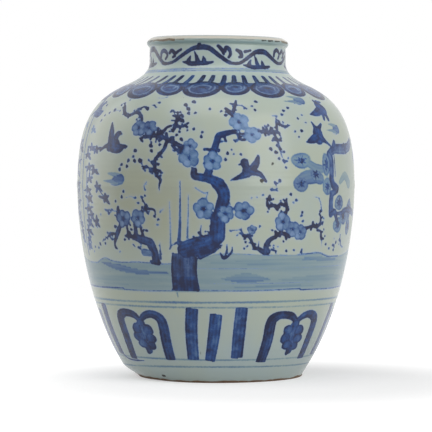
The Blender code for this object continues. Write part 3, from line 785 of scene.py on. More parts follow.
def small_plum_right(canvas, at=0.0, mirror=1):
    """Young plum that leans two ways, with a broken row of buds to its right."""

    def stroke(points, widths, tone=0.9, violet=0.6):
        branch(canvas, placed(points, at, mirror), widths, tone, violet)

    stroke([(21.4, 148), (19.8, 147.6), (17.6, 150.6)], [7, 6, 4.6], 0.9)
    stroke([(16.2, 151), (14.8, 156.6), (13.4, 163.6), (11, 165)], [4, 3.6, 3.4, 4], 0.92, 0.4)
    stroke([(10.6, 166), (9.8, 171), (8, 170.6), (5.6, 169.8)], [3, 1.8, 1, 1.6], 0.66, 0.3)
    stroke([(12.6, 166), (14.6, 164.6)], [2.4, 2.6], 0.88, 0.4)
    stroke([(17.2, 152), (17.6, 158.6)], [2.4, 0.9], 0.82, 0.5)
    stroke([(20.6, 148), (21, 156), (22.4, 160.6), (24.6, 163.4)], [6, 6, 5, 4.4], 0.88, 0.7)
    stroke([(24.4, 163.4), (26.6, 167), (29.4, 165.6), (31, 163)], [4.4, 5, 4.6, 3.4], 0.9, 0.7)
    stroke([(26.2, 166), (26.6, 173.6)], [3, 2], 0.88, 0.6)
    stroke([(23, 150), (25.4, 148.4)], [2.6, 2], 0.75, 0.4)
    stroke([(20.2, 156), (20, 150)], [3, 3], 0.9, 0.6)
    stroke([(21.4, 206), (20.4, 200), (20.8, 195), (23.4, 196), (24.8, 192)], [3, 3, 3.2, 4.4, 4], 0.93)
    stroke([(24.6, 193), (25.8, 198), (28, 197), (28.8, 203)], [3, 2.6, 4, 2.4], 0.9)
    stroke([(28.6, 201), (29, 195), (28.8, 188)], [3, 3.6, 3.6], 0.92)
    stroke([(29.6, 191), (29.8, 192)], 3, 0.85)
    stroke([(22, 212.4), (24, 212), (24.4, 214)], [3.2, 2.2, 1.6], 0.75, 0.4)
    stroke([(23.6, 220), (24.2, 216)], [3.4, 0.9], 0.72, 0.5)
    stroke([(38, 171), (40, 172.6), (42, 174), (45, 173.6), (47, 176)], [6, 3.4, 3, 4.4, 4], 0.95, 0.75)
    stroke([(42.6, 178), (42.4, 174), (41.8, 170.6)], [3.6, 3, 3.4], 0.93, 0.5)
    stroke([(47, 177), (47, 184), (46, 186.4)], [3.4, 2.6, 2.4], 0.92, 0.4)
    stroke([(45.4, 169.6), (47.6, 168.4), (48.2, 163), (48.6, 160)], [3, 2.6, 4, 3.4], 0.92, 0.5)
    stroke([(48.6, 177.6), (47.4, 176)], [3.4, 2], 0.8, 0.3)
    stroke([(49, 160), (49.4, 152)], [1.4, 0.7], 0.5, 0.2)
    stroke([(42.6, 205), (45.4, 203), (46.6, 197), (47.2, 190)], [0.7, 1.2, 1.2, 2.6], 0.58, 0.2)
    stroke([(63, 158.4), (64.6, 157.4), (65.6, 152.4), (68.4, 150)], [3.4, 2.6, 1.4, 1.6], 0.72, 0.2)
    stroke([(57.4, 153), (59, 152.6)], [3, 2.4], 0.85, 0.2)
    buds = [(52.2, 154.4), (55, 149.6), (60.2, 156), (46.4, 189.8), (36.6, 188.6),
            (36.3, 185.4), (37.2, 179.6)]
    canvas.dots(placed(buds, at, mirror), 3.4, 0.9, 0.3)
    dabs = [(30, 148.4), (33.8, 149), (37.8, 149.4), (37.6, 146.8), (12.8, 154), (11.4, 151.4), (17.6, 174.6),
            (25.7, 222), (18.7, 207), (30.7, 207.6), (33.4, 201.4)]
    canvas.dots(placed(dabs, at, mirror), 2.8, 0.78, 0.4)
    faint = [(16.2, 204.6), (14, 204), (32, 199), (26, 153), (58.4, 160)]
    canvas.dots(placed(faint, at, mirror), 2.2, 0.5, 0.4)
    blossom(canvas, (at + mirror * 14.4, 171), 4.8, 0, tone=0.5, line=0.78, violet=0.4)
    blossom(canvas, (at + mirror * 27.4, 179), 9.6, 8, tone=0.44, line=0.72, violet=0.3)
    blossom(canvas, (at + mirror * 32.4, 171), 8.0, 34, tone=0.46, line=0.7, violet=0.3)
    blossom(canvas, (at + mirror * 36.2, 168), 8.6, 0, tone=0.48, line=0.74, violet=0.35)


def pine(canvas):
    """Old pine with a knotted trunk and clumps of needles to both sides."""

    def stroke(points, widths, tone, violet, layer="ink"):
        canvas.stroke(points, widths, layer, tone, violet)

    stroke([(40, 239.5), (43.4, 235.4), (46.8, 233.8)], [8, 9, 9], 0.44, 0.2, "wash")
    stroke([(34.5, 219.5), (38, 224.5), (43, 226), (46, 223.6)], [13, 15, 15, 12], 0.54, 0.3, "wash")
    stroke([(60, 220), (65, 227), (69, 219)], [5, 9, 12], 0.3, 0.0, "wash")
    stroke([(71.2, 199.6), (69.2, 190), (70.2, 179.6), (71.4, 165.6)], [6, 11, 11, 5], 0.56, 0.4, "wash")
    for turn, rise, wide, tall, tone, violet, heart in (
            (36, 242.6, 12, 7.6, 0.44, 0.2, 0.0), (35.6, 218, 9, 7.5, 0.56, 0.5, 0.0),
            (43.4, 227.5, 7.5, 6.5, 0.54, 0.4, 0.2), (50.2, 238.6, 6.6, 11, 0.5, 0.3, -0.08),
            (50.4, 215.6, 7, 8.6, 0.44, 0.2, -0.1), (59.8, 198, 8.8, 7.4, 0.54, 0.4, 0.0),
            (59.8, 174.5, 9, 7.6, 0.52, 0.2, 0.0), (64.8, 183.5, 8, 8.4, 0.56, 0.3, 0.0),
            (71.2, 191, 7, 9, 0.58, 0.4, 0.0), (71.4, 172, 7, 8, 0.56, 0.3, 0.0),
            (86, 262, 9, 8, 0.54, 0.3, 0.0), (92, 252, 9, 8, 0.5, 0.3, 0.0), (83, 248, 8, 7, 0.52, 0.3, 0.0),
            (96, 266, 8, 7, 0.5, 0.2, 0.0), (86, 184, 9, 8, 0.54, 0.3, 0.0), (92, 174, 8, 7, 0.5, 0.3, 0.0)):
        needle_clump(canvas, (turn, rise), wide, tall, tone, violet, (0.05, heart))
    stroke([(78, 264), (72, 258), (66, 255.6), (61, 255.4), (56.6, 255), (52.6, 250)],
           [9, 10, 11, 11, 10, 8], 0.74, 0.5)
    stroke([(67, 258.4), (67.4, 253)], [8, 6], 0.84, 0.5)
    stroke([(57.6, 262.8), (56.4, 258)], [5, 6], 0.86, 0.4)
    stroke([(52.4, 249.6), (53.8, 244.4), (53.8, 234.4), (53.4, 224)], [8, 8.4, 8.4, 8.6], 0.78, 0.4)
    stroke([(53.4, 224), (54.4, 217.6), (56.8, 212.8), (53.8, 207.2)], [8.6, 9, 9, 7], 0.84, 0.4)
    stroke([(53.6, 208), (53.4, 197.2), (53.8, 187)], [7.6, 8, 9], 0.78, 0.3)
    stroke([(54, 187), (56.6, 188.4), (58.6, 180), (60.8, 173.2)], [7, 7, 5.6, 3.4], 0.82, 0.3)
    stroke([(56.2, 248), (56.4, 226)], [1.4, 1.2], 0.98, 0.5)
    stroke([(58.4, 216), (58.6, 211), (56.6, 207)], [1.6, 2, 1.4], 1.0, 0.4)
    stroke([(57, 187), (62, 187), (66, 190), (72, 190), (80, 186)], [3, 5, 6, 7, 7], 0.74, 0.4)


def bamboo(canvas, at, tall=1.0):
    """Clump of bamboo: jointed stems half hidden behind short leaves that cross like stars."""
    for offset, low, high, tone in ((0.0, 142, 300, 0.6), (-5.0, 150, 262, 0.55), (5.0, 150, 236, 0.5)):
        for joint in range(low, int(low + (high - low) * tall), 22):
            stem = [(at + (offset + 0.6), joint), (at + (offset + 0.4), joint + 20)]
            canvas.stroke(stem, [2.6, 2.2], "ink", tone, 0.5)
    for side, lift in ((1, 0.0), (-1, 7.0)):
        for turn, rise, size, tone in ((6.4, 276.4, 4.6, 0.5), (8.8, 256.8, 6.4, 0.8),
                                       (12.8, 254.8, 5.8, 0.86), (5.4, 249.6, 6.4, 0.82),
                                       (7.4, 236.4, 6.4, 0.78), (12.6, 232, 6, 0.9), (8.4, 224, 6, 0.8),
                                       (7, 211.6, 6.2, 0.86), (15.6, 214.4, 6, 0.88), (8, 202, 6.4, 0.86),
                                       (20.6, 202.8, 6.6, 0.98), (7.2, 192.4, 6.2, 0.86),
                                       (9.4, 184.8, 5, 0.8), (13.2, 178, 5.8, 0.88), (7, 177.2, 6, 0.8),
                                       (5.4, 168.4, 6, 0.8), (4.4, 160.4, 5.6, 0.76),
                                       (3.6, 151.6, 4.6, 0.62)):
            if rise < 142 + 150 * tall:
                leaf_star(canvas, (at + side * turn, rise + lift), size, tone)
        for twig in (((15.6, 214.4), (17, 210.8), (19.6, 205.2)), ((7.2, 192.4), (9.4, 184.8), (13.2, 178))):
            canvas.stroke([(at + side * turn, rise + lift) for turn, rise in twig], 1.4, "ink", 0.84, 0.5)


def rock(canvas, at, size=1.0):
    """Pierced garden rock of overlapping washes with dark edges."""
    foot = (at, 138.0)
    for x, y, width, tone in ((-9, 6, 18, 0.5), (2, 14, 20, 0.46), (9, 5, 16, 0.54), (0, 28, 13, 0.5),
                              (5, 38, 8, 0.56)):
        place = canvas.local(foot, [(x, y)], size)[0]
        canvas.stroke([place], width * size, "wash", tone, 0.15)
    for shape in (((-18, 2), (-17, 12), (-9, 17), (-6, 27), (0, 36), (5, 44)),
                  ((5, 44), (10, 36), (8, 25), (14, 16), (17, 3)), ((-4, 8), (-2, 15), (4, 18)),
                  ((3, 4), (8, 9), (7, 16)), ((-1, 24), (3, 29))):
        widths = [1.6, 3] * (len(shape) // 2) + [1.6] * (len(shape) % 2)
        canvas.stroke(canvas.local(foot, shape, size), widths, "ink", 0.8, 0.3)


def lappet_panel(canvas, centre, half, rise=0.0):
    """Panel of the lower border: a bracket with two curled arms that holds a pendant."""

    def stroke(points, widths, tone=0.84, violet=0.15, **how):
        canvas.stroke([(centre + half * turn, high + rise) for turn, high in points], widths, "ink",
                      tone, violet, **how)

    # Brackets: two legs whose tops curl in to meet over the pendant.
    stroke([(-0.54, 25), (-0.5, 50), (-0.5, 70), (-0.45, 77), (-0.31, 80), (-0.12, 78), (0.0, 71.5)],
           [11.5, 12.5, 12.5, 11.5, 9, 8.5, 6], 0.98, 0.5, flat=True)
    stroke([(0.48, 26), (0.47, 48), (0.47, 67), (0.42, 75.6), (0.27, 79.6), (0.12, 77.4), (0.0, 71.5)],
           [11.5, 12, 12, 11, 9, 8, 5.5], 0.94, 0.3, flat=True)
    # Pendant: a lumpy cloud head of short dabs, darker round each and at the tip.
    stroke([(0.0, 72), (-0.02, 62), (0.02, 50), (0.06, 42)], [7, 15, 18, 11], 0.8, 0.25)
    for turn, high, wide, tall in ((0.0, 69, 5.5, 5), (-0.12, 62, 7, 6.5), (0.12, 61, 7.5, 6.5),
                                   (-0.14, 53, 7, 6.5), (0.14, 51.5, 7.5, 6.5), (-0.06, 45, 7.5, 6),
                                   (0.12, 43, 6, 5.5), (0.03, 38, 4.5, 5)):
        canvas.petal((centre + half * turn, high + rise), wide, tall, 0.0, 0.84, 1.0, 0.25)
    stroke([(0.03, 41), (0.0, 34.5)], [8, 5.5], 1.0, 0.3)


def lower_border(canvas):
    """Border of lappet panels over the foot, parted by single bars."""

    def bar(points, widths, violet):
        canvas.stroke(points, widths, "ink", 0.86, violet, flat=True)

    panels = ((-39.0, 27.5, 0.0), (42.0, 30.0, -1.5), (117.0, 25.5, 0.5), (186.0, 25.0, -0.5),
              (251.0, 22.5, 0.0))
    for centre, half, rise in panels:
        lappet_panel(canvas, centre, half, rise)
        left, right = centre - half, centre + half
        bar([(left - 0.2, 87.6), (left - 0.6, 62), (left - 0.6, 29.5)], [13, 13.4, 12.4], 0.4)
        bar([(right + 0.7, 87), (right - 0.4, 62), (right - 0.9, 27)], [13.4, 13.2, 12.4], 0.25)
    for turn, sway in ((-0.6, 2.6), (80.6, 1.6), (151.4, -1.6), (220.0, 1.8), (283.4, 1.4)):
        bar([(turn + 0.3 * sway, 80.5), (turn - 0.2 * sway, 53), (turn - sway, 25.8)], [13, 12.5, 10.5], 0.2)
    # Here the brush was dragged on under the bar's end.
    canvas.stroke([(-65, 28), (-60.5, 23.4), (-52.5, 22.4), (-45.5, 23)], [3, 2.2, 2, 1], "ink", 0.8, 0.4)


def collar_border(canvas):
    """Collar of ruyi heads round the shoulder, large and small by turns."""
    pairs = 10
    pitch = 360.0 / pairs
    canvas.ring(337.5, 9.0, 0.8, 0.4, 0.6, "ink", 0.5)
    for index in range(pairs):
        wobble = 0.5 * math.sin(2.1 * index)
        small = 10.4 + pitch * index + wobble
        large = -7.3 + pitch * index - 0.6 * wobble
        tilt = -1.6 if index in (8, 9) else 0.8
        for centre, half, low, high, violet in ((small, 7.5, 318.6, 345.2, 0.35),
                                                (large, 10.2, 314.6, 346.6, 0.5)):
            height = high - low
            canvas.egg(centre, half, low, high, "ink", 0.84, violet, tilt=tilt)
            canvas.egg_line(centre, half, low, high, 4.2, 1.02, violet, 0.9, tilt)
            canvas.egg_line(centre, half, low, high, 7.0, 1.06, violet, 0.84, tilt, part=(110, 250))
            middle = (low + high) / 2
            eye = [(centre - 0.3 * half, middle - 0.02 * height),
                   (centre + 0.05 * half, middle + 0.04 * height),
                   (centre + 0.2 * half, middle - 0.06 * height)]
            canvas.stroke(eye, [3.4, 4.6, 3.4], "ink", 1.0, violet)
            # Pale lines left between the pulls of the brush: one round inside, and a scroll round the eye.
            canvas.egg_line(centre, half, low, high, 2.4, 0.46, violet, 0.66, tilt, part=(70, 300), over=True)
            scroll = [(centre - 0.5 * half, middle + 0.04 * height),
                      (centre - 0.1 * half, middle + 0.2 * height),
                      (centre + 0.42 * half, middle + 0.12 * height),
                      (centre + 0.36 * half, middle - 0.1 * height)]
            canvas.stroke(scroll, [2.0, 2.8, 2.8, 2.0], "ink", 0.46, violet, over=True)


def collar_rays(canvas):
    """Short bars that stand on the collar, close together."""
    count = 50
    for index in range(count):
        turn = -2.4 + 360.0 / count * index + 0.6 * math.sin(1.7 * index)
        tone = 0.9 + 0.12 * math.sin(3.1 * index)
        canvas.stroke([(turn - 1.5, 343.0), (turn - 0.6, 352.0), (turn, 360.4)], [6.0, 5.4, 4.4],
                      "ink", tone, 0.5)


def neck_border(canvas):
    """Rolling wave round the neck, with curled foam in its troughs and tufts under its crests."""
    crests = ((-14.0, 396.8), (37.0, 393.2), (89.0, 394.8), (141.0, 395.8), (192.0, 394.0), (243.0, 395.2),
              (288.0, 397.0))
    troughs = ((14.5, 379.2), (62.0, 381.6), (115.0, 380.4), (167.0, 379.8), (218.0, 380.8), (266.0, 380.0),
               (313.0, 379.8))
    # Two kinds of foam: curls in degrees and mm from the lowest place of the trough.
    foams = ((((-14, 18.7), (-10.5, 14.2), (-9.5, 10.2)),
              ((-8.5, 13.2), (-7.5, 17.2), (-5, 15.2), (-4, 10.2), (-5.5, 6.7)),
              ((1.5, 14.7), (4.5, 12.2), (5.5, 8.2), (3.5, 7.2)), ((8.5, 13.2), (13.5, 14.7))),
             (((-7.8, 8), (-6.8, 12.4), (-3.6, 14.4), (-0.4, 12.4), (0.8, 9.2), (-1.4, 5.2)),
              ((3.4, 11.6), (5.8, 14), (8.6, 11.6), (9.2, 8.4), (7, 6.8)), ((10.4, 11.2), (15.6, 14.8))))
    for index, ((crest, high), (trough, low)) in enumerate(zip(crests, troughs)):
        after, after_high = crests[(index + 1) % len(crests)]
        first, span = between(trough, crest), between(after, trough)
        height, next_height = high - low, after_high - low
        canvas.stroke([(crest, high), (crest + 0.24 * first, high - 0.06 * height),
                       (crest + 0.55 * first, low + 0.46 * height),
                       (crest + 0.82 * first, low + 0.08 * height),
                       (trough, low)], [6.0, 5.6, 4.6, 4.2, 3.4], "ink", 0.98, 0.6)
        canvas.stroke([(trough, low), (trough + 0.22 * span, low + 0.1 * next_height),
                       (trough + 0.5 * span, low + 0.5 * next_height),
                       (trough + 0.78 * span, low + 0.9 * next_height),
                       (trough + span, after_high)], [3.4, 3.6, 4.2, 4.6, 6.0], "ink", 0.94, 0.65)
        for curl in foams[(index + index // 6) % 2]:
            widths = np.interp(np.linspace(0.0, 1.0, len(curl)), (0.0, 0.4, 1.0), (3.6, 4.6, 2.6))
            canvas.stroke([(trough + turn, low + rise) for turn, rise in curl], widths, "ink", 0.98, 0.65)
        # Tuft under the crest, like a lily cup.
        base = high - 15.4
        cup = ((-15.4, 0.0), (-11.0, -1.0), (-7.0, -2.4), (-1.2, -1.8), (5.0, -1.8), (10.0, -0.6))
        canvas.stroke([(crest + turn, base + rise) for turn, rise in cup], [1.6, 4.6, 5.6, 5.4, 4.4, 2.6],
                      "ink", 0.96, 0.6)
        for offset, tall, lean in ((-10.6, 6.0, 2.0), (-2.4, 10.6, -2.8), (3.0, 5.4, -0.8)):
            canvas.stroke([(crest + offset, base), (crest + offset + 0.4 * lean, base + 0.5 * tall),
                           (crest + offset + lean, base + tall)], [5.6, 3.8, 1.2], "ink", 0.96, 0.6)
    canvas.stroke([(-15.6, 398), (-14.4, 402)], [5, 2.5], "ink", 0.98, 0.5)


def ground(canvas):
    """Bank of pale wash that the plants grow on, with streaks and a dark lower edge."""
    tops = [(-70, 134.5), (-62, 134.5), (-58, 138), (-54, 140), (-50, 137.6), (-44, 136), (-34, 137),
            (-20, 135.5), (-8, 140), (0, 146), (6, 146.5), (12, 146), (20, 144.6), (27, 144.8), (33, 143.8),
            (42, 145), (48, 146.4), (52, 144), (56, 141.6), (60, 141), (66, 141.2), (72, 142.6), (84, 147),
            (96, 143), (110, 139), (124, 141), (138, 147), (152, 143), (166, 138), (180, 136), (194, 140),
            (208, 146), (222, 143), (236, 139), (250, 141), (264, 146), (278, 140)]
    bottoms = [(-76, 106.6), (-60, 106), (-40, 104.6), (-8, 105), (10, 105.8), (40, 105.8), (76, 105.8),
               (150, 104.6), (220, 106)]
    canvas.band(tops, bottoms, 0.29, 0.1)
    for start, end, rise, width, tone in ((-84, -18, 116, 14, 0.3), (-9, 76, 136, 9, 0.33),
                                          (2, 24, 119, 13, 0.46), (24, 84, 117.4, 9, 0.34),
                                          (38, 64, 138, 6, 0.44), (8, 52, 110, 5, 0.38),
                                          (90, 130, 128, 9, 0.42), (120, 160, 118, 8, 0.4),
                                          (176, 214, 130, 9, 0.42), (206, 250, 120, 8, 0.4),
                                          (240, 280, 130, 8, 0.42)):
        middle = (start + end) / 2
        canvas.stroke([(start, rise), (middle, rise + 0.8), (end, rise - 0.8)], [2, width, 2],
                      "wash", tone, 0.2)
    canvas.stroke([(-58, 134.5), (-46, 129.8), (-34, 125.8), (-20, 125.4)], [3, 9, 7, 3], "wash", 0.54, 0.3)
    canvas.stroke([(40, 140), (50, 139), (62, 137.5)], [4, 6, 4], "wash", 0.48, 0.2)
    # Lines where one pull of the brush overlaps the next, and the dark upper and lower edge.
    for start, end, rise, width, tone in ((-7, 80, 130.4, 1.0, 0.44), (-7, 60, 114.6, 1.0, 0.46),
                                          (-84, -45, 107.4, 1.8, 0.7), (-45, -18, 106, 1.4, 0.58),
                                          (-7, 40, 107, 1.6, 0.6), (40, 84, 106, 1.6, 0.64),
                                          (90, 176, 121, 1.0, 0.44), (176, 260, 116, 1.0, 0.44),
                                          (90, 276, 105.8, 1.6, 0.6)):
        middle = (start + end) / 2
        canvas.stroke([(start, rise), (middle, rise - 0.6), (end, rise + 0.3)], width, "ink", tone, 0.3)
    canvas.stroke([(turn, rise - 0.7) for turn, rise in tops[:9]], 1.6, "ink", 0.52, 0.3)
    canvas.stroke([(turn, rise - 0.7) for turn, rise in tops[9:30]], 1.2, "ink", 0.44, 0.1)
    canvas.stroke([(36, 144), (42, 144.8), (48, 145.4), (55, 141), (64, 140.8)], 1.8, "ink", 0.6, 0.2)


def ring_lines(canvas):
    """Lines turned on the wheel: under the scene, round the foot and round the neck."""
    for rise, width, tone, sway, phase, layer, violet in (
            (93.4, 2.0, 0.42, 0.4, 0.2, "wash", 0.3), (87.6, 1.6, 0.42, 0.5, 1.3, "wash", 0.3),
            (26.0, 1.8, 0.38, 1.4, 1.3, "wash", 0.3), (15.2, 1.8, 0.40, 3.6, 0.9, "wash", 0.3),
            (373.0, 1.2, 0.5, 0.3, 0.7, "ink", 0.5), (370.0, 1.4, 0.5, 0.4, 1.9, "ink", 0.5),
            (371.5, 4.0, 0.24, 0.3, 1.1, "wash", 0.4)):
        canvas.ring(rise, width, tone, sway, phase, layer, violet)


def worn_lip(canvas):
    """Widest place of the lip, where the glaze ran thin: a broken line of rust, olive and dark chips."""
    rise = 406.8
    for start, end, width, tone in ((-64, -37, 3.4, 1.0), (-35, -28, 2.4, 0.7), (-25, -9, 1.8, 0.4),
                                    (-8, 30, 2.0, 0.36), (64, 86, 3.0, 0.9), (98, 128, 2.6, 0.7),
                                    (140, 172, 3.2, 0.95), (190, 226, 2.2, 0.5), (240, 262, 3.0, 0.9)):
        places = np.linspace(start, end, max(3, int((end - start) / 4)))
        canvas.stroke([(turn, rise + 0.5 * math.sin(1.9 * turn)) for turn in places],
                      [width * (0.75 + 0.25 * math.sin(1.3 * turn)) for turn in places], "rust", tone)
    for start, end, width in ((-88, -80, 2.6), (-78, -74, 2.2), (-72, -66, 2.8), (38, 42, 2.2), (45, 50, 2.8),
                              (53, 60, 2.2), (176, 182, 2.4), (268, 274, 2.6)):
        canvas.stroke([(start, rise - 0.3), (end, rise + 0.3)], [width, 0.7 * width], "iron", 0.85)


def paint_jar(canvas):
    """The whole painting, from the foot's lines to the wave on the neck."""
    ground(canvas)
    ring_lines(canvas)
    lower_border(canvas)
    collar_border(canvas)
    collar_rays(canvas)
    neck_border(canvas)
    worn_lip(canvas)
    plum_tree(canvas)
    small_plum_left(canvas)
    small_plum_right(canvas)
    pine(canvas)
    bamboo(canvas, -71.0)
    bird(canvas, (-46.4, 259.6), RISING_BIRD, 0.9, 0.55)
    bird(canvas, (13.4, 228), GLIDING_BIRD, 0.84, 0.6)
    bird(canvas, (47, 269), STOOPING_BIRD, 0.86, 0.25)
    bird(canvas, (55, 300), FAR_BIRD, 0.8, 0.35)
    bird(canvas, (-68.6, 299), RISING_BIRD, 0.7, 0.6, size=0.9)
    cloud(canvas, (-43.8, 223.0), 10.0, 1, 0.48)
    cloud(canvas, (41.2, 311), 9.0, 1, 0.46)
    cloud(canvas, (60.6, 277), 8.6, 1, 0.42)
    # The far side repeats the three plants in another order.
    plum_tree(canvas, 172.0, -1)
    small_plum_left(canvas, 150.0, -1)
    small_plum_right(canvas, 194.0, -1)
    bamboo(canvas, 112.0, 0.9)
    rock(canvas, 97.0)
    rock(canvas, 252.0, size=0.85)
    bird(canvas, (126, 262), GLIDING_BIRD, 0.86, 0.4, -1)
    bird(canvas, (226, 270), RISING_BIRD, 0.88, 0.45, -1)
    bird(canvas, (240, 292), STOOPING_BIRD, 0.84, 0.3)
    cloud(canvas, (96, 246), 10.0, -1, 0.46)
    cloud(canvas, (262, 238), 10.0, 1, 0.46)
    cloud(canvas, (140, 296), 9.0, -1, 0.44)
    cloud(canvas, (250, 312), 9.0, 1, 0.44)
    # Iron specks and pits burnt dark in the kiln.
    canvas.dots([(22.8, 239.4), (18, 221.6)], 3.0, 1.0, layer="iron")
    canvas.dots([(18.5, 219.6), (-35, 4), (102, 226), (203, 204), (257, 182)], 1.6, 1.0, layer="iron")
    canvas.stroke([(-35.8, 4), (-34.2, 4)], 3.0, "iron", 1.0)
    canvas.stroke([(-8.2, 34), (-8, 37)], [1.2, 1.0], "iron", 0.5)


# Turned pieces.


def settle(points):
    """The fired jar isn't quite true: the neck leans, the belly seam stands proud, walls wander."""
    x, y, z = points.T
    turn = np.arctan2(x, -y)
    radius = np.hypot(x, y)
    share = np.clip(radius / BELLY_RADIUS, 0.0, 1.0)
    push = share * (OUT_OF_ROUND[0] * np.sin(2 * turn + 0.8) + OUT_OF_ROUND[1] * np.sin(3 * turn + 9.0 * z))
    push += share * SEAM_RIDGE * np.exp(-((z - BELLY_JOINT) / 0.0045) ** 2)
    push += share * THROWING_RINGS * np.sin(z * 1100.0) * (0.5 + 0.5 * np.sin(40.0 * z))
    push[z < 0.002] = 0.0
    lean = np.clip((z - LEAN_START) / 0.045, 0.0, 1.0)
    lean = lean * lean * (3 - 2 * lean)
    grown = 1.0 + push / np.maximum(radius, 0.01)
    drop = np.clip((z - LEAN_START) / (LIP_TOP - LEAN_START), 0.0, 1.0)
    # The crest dips in front; the foot's edge is worn away at the left and spread at the right.
    dip = CREST_DIP * np.clip(-y / 0.07, 0.0, 1.0) * np.clip((z - 0.360) / 0.010, 0.0, 1.0)
    heel = np.clip((radius - 0.084) / 0.0085, 0.0, 1.0) * np.clip(1.0 - z / 0.014, 0.0, 1.0) ** 1.5
    left = np.exp(-(between(np.degrees(turn), -85.0) / 38.0) ** 2)
    right = np.exp(-(between(np.degrees(turn), 80.0) / 35.0) ** 2)
    grown += heel * (HEEL_SPREAD * right - HEEL_WORN * left) / np.maximum(radius, 0.01)
    return np.stack([x * grown + NECK_SHIFT * lean, y * grown,
                     z - drop * NECK_FALL * (x + 0.02) - dip + HEEL_LIFTED * left * heel], axis=1)


def spun(name, profile, columns, closed):
    """Mesh of a profile of (radius, height, rise) spun about the jar's axis."""
    shape = bmesh.new()
    layers = [shape.verts.layers.float.new(name) for name in ("rise", "along", "radius")]
    lengths = [0.0]
    for (radius, height, rise), (next_radius, next_height, next_rise) in zip(profile, profile[1:]):
        step = math.hypot(next_radius - radius, next_height - height)
        lengths.append(lengths[-1] + (step if min(rise, next_rise) > BARE / 2 else 0.4 * step))
    whole = lengths[-1] * 1.02
    verts = []
    for (radius, height, rise), length in zip(profile, lengths):
        vert = shape.verts.new((0.0, -radius, height))
        for layer, value in zip(layers, (rise, length / whole, radius)):
            vert[layer] = value
        verts.append(vert)
    edges = [shape.edges.new(pair) for pair in zip(verts, verts[1:])]
    if closed:
        edges.append(shape.edges.new((verts[-1], verts[0])))
    # A coarse spin, whose rings are then cut finer, is far quicker than a fine spin.
    bmesh.ops.spin(shape, geom=verts + edges, cent=(0, 0, 0), axis=(0, 0, 1), angle=math.tau,
                   steps=columns // RING_CUTS, use_merge=True, use_normal_flip=False, use_duplicate=False,
                   dvec=(0, 0, 0), space=Matrix())
    poles = [vert for vert in shape.verts if math.hypot(vert.co.x, vert.co.y) < 1e-6]
    bmesh.ops.remove_doubles(shape, verts=poles, dist=1e-6)
    around = [edge for edge in shape.edges
              if edge.verts[0][layers[1]] == edge.verts[1][layers[1]] and edge.verts[0][layers[2]] > 1e-6]
    bmesh.ops.subdivide_edges(shape, edges=around, cuts=RING_CUTS - 1, use_grid_fill=True)
    bmesh.ops.recalc_face_normals(shape, faces=shape.faces[:])
    mesh = bpy.data.meshes.new(name)
    shape.to_mesh(mesh)
    shape.free()
    return mesh


def numbers(mesh, name):
    values = np.zeros(len(mesh.vertices), np.float32)
    mesh.attributes[name].data.foreach_get("value", values)
    return values.astype(float)


def unwrap(mesh, turn, along):
    """UV map round the jar and along its profile, for whoever bakes the painting."""
    corners = np.zeros(len(mesh.loops), np.int32)
    mesh.loops.foreach_get("vertex_index", corners)
    totals = np.zeros(len(mesh.polygons), np.int32)
    mesh.polygons.foreach_get("loop_total", totals)
    starts = np.zeros(len(mesh.polygons), np.int32)
    mesh.polygons.foreach_get("loop_start", starts)
    across = (turn[corners] + 180.0) / 360.0
    up = along[corners].copy()
    face = np.repeat(np.arange(len(totals)), totals)
    for values in (across, up):
        low, high = np.minimum.reduceat(values, starts), np.maximum.reduceat(values, starts)
        wraps = (high - low)[face] > 0.5
        values[wraps & (values < 0.5)] += 1.0
    uv = mesh.uv_layers.new(name="OFBake")
    uv.data.foreach_set("uv", np.stack([across, up], axis=1).astype(np.float32).ravel())


def painted_piece(name, profile, outline, columns, closed, nodes, slot):
    """Spin, paint, settle and glaze one piece that stands for its CAD nodes."""
    mesh = spun(name, profile, columns, closed)
    count = len(mesh.vertices)
    points = np.zeros(count * 3, np.float32)
    mesh.vertices.foreach_get("co", points)
    points = points.reshape(-1, 3).astype(float)
    rise, along, radius = (numbers(mesh, layer) for layer in ("rise", "along", "radius"))
    angle = np.arctan2(points[:, 0], -points[:, 1])
    points[:, 0], points[:, 1] = radius * np.sin(angle), -radius * np.cos(angle)
    turn = np.degrees(angle)
    canvas = Canvas(turn, rise, outline)
    if canvas.painted.any():
        paint_jar(canvas)
    stored = {}
    for layer in Canvas.LAYERS:
        stored[layer + "_mm"], stored[layer + "_tone"] = canvas.distance[layer], canvas.tone[layer]
    stored.update(violet=canvas.violet, height=points[:, 2])
    for label, values in stored.items():
        mesh.attributes.new(label, "FLOAT", "POINT").data.foreach_set("value", values.astype(np.float32))
    unwrap(mesh, turn, along)
    if slot == "luting_slip":
        # The glaze runs on over the seam's painted outside and over the band wiped out inside.
        wall = np.interp(points[:, 2], outline.inside[:, 1], outline.inside[:, 0]) - SEAT_GAP / 2
        hidden = (rise < BARE / 2) & (radius > wall)
        for face in mesh.polygons:
            face.material_index = int(hidden[list(face.vertices)].any())
    mesh.vertices.foreach_set("co", settle(points).astype(np.float32).ravel())
    for layer in ("rise", "along", "radius"):
        mesh.attributes.remove(mesh.attributes[layer])
    mesh.shade_smooth()
    mesh.set_sharp_from_angle(angle=SHARP_ANGLE)
    mesh.update()
    piece = bpy.data.objects.new(name, mesh)
    bpy.context.scene.collection.objects.link(piece)
    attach(piece, "root")
    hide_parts(*nodes)
    colours = bpy.context.scene.jar_colours
    mesh.materials.append(shared_material("glazed_porcelain_underglaze_cobalt", glazed_porcelain, colours))
    if slot == "luting_slip":
        mesh.materials.append(shared_material("fired_porcelain_slip", fired_slip, colours))


def tongue_rings(outline, joint):
    """Lower end of a section, resting on the slip: outer shoulder, tongue, inner edge."""
    middle = outline.middle(joint)
    shoulder = joint + SLIP_THICKNESS / 2
    tip = shoulder - TONGUE_DEPTH
    face = middle - SLIP_THICKNESS / 2
    return [(face, shoulder, BARE), (face, tip, BARE), (outline.inner(tip), tip, BARE)]


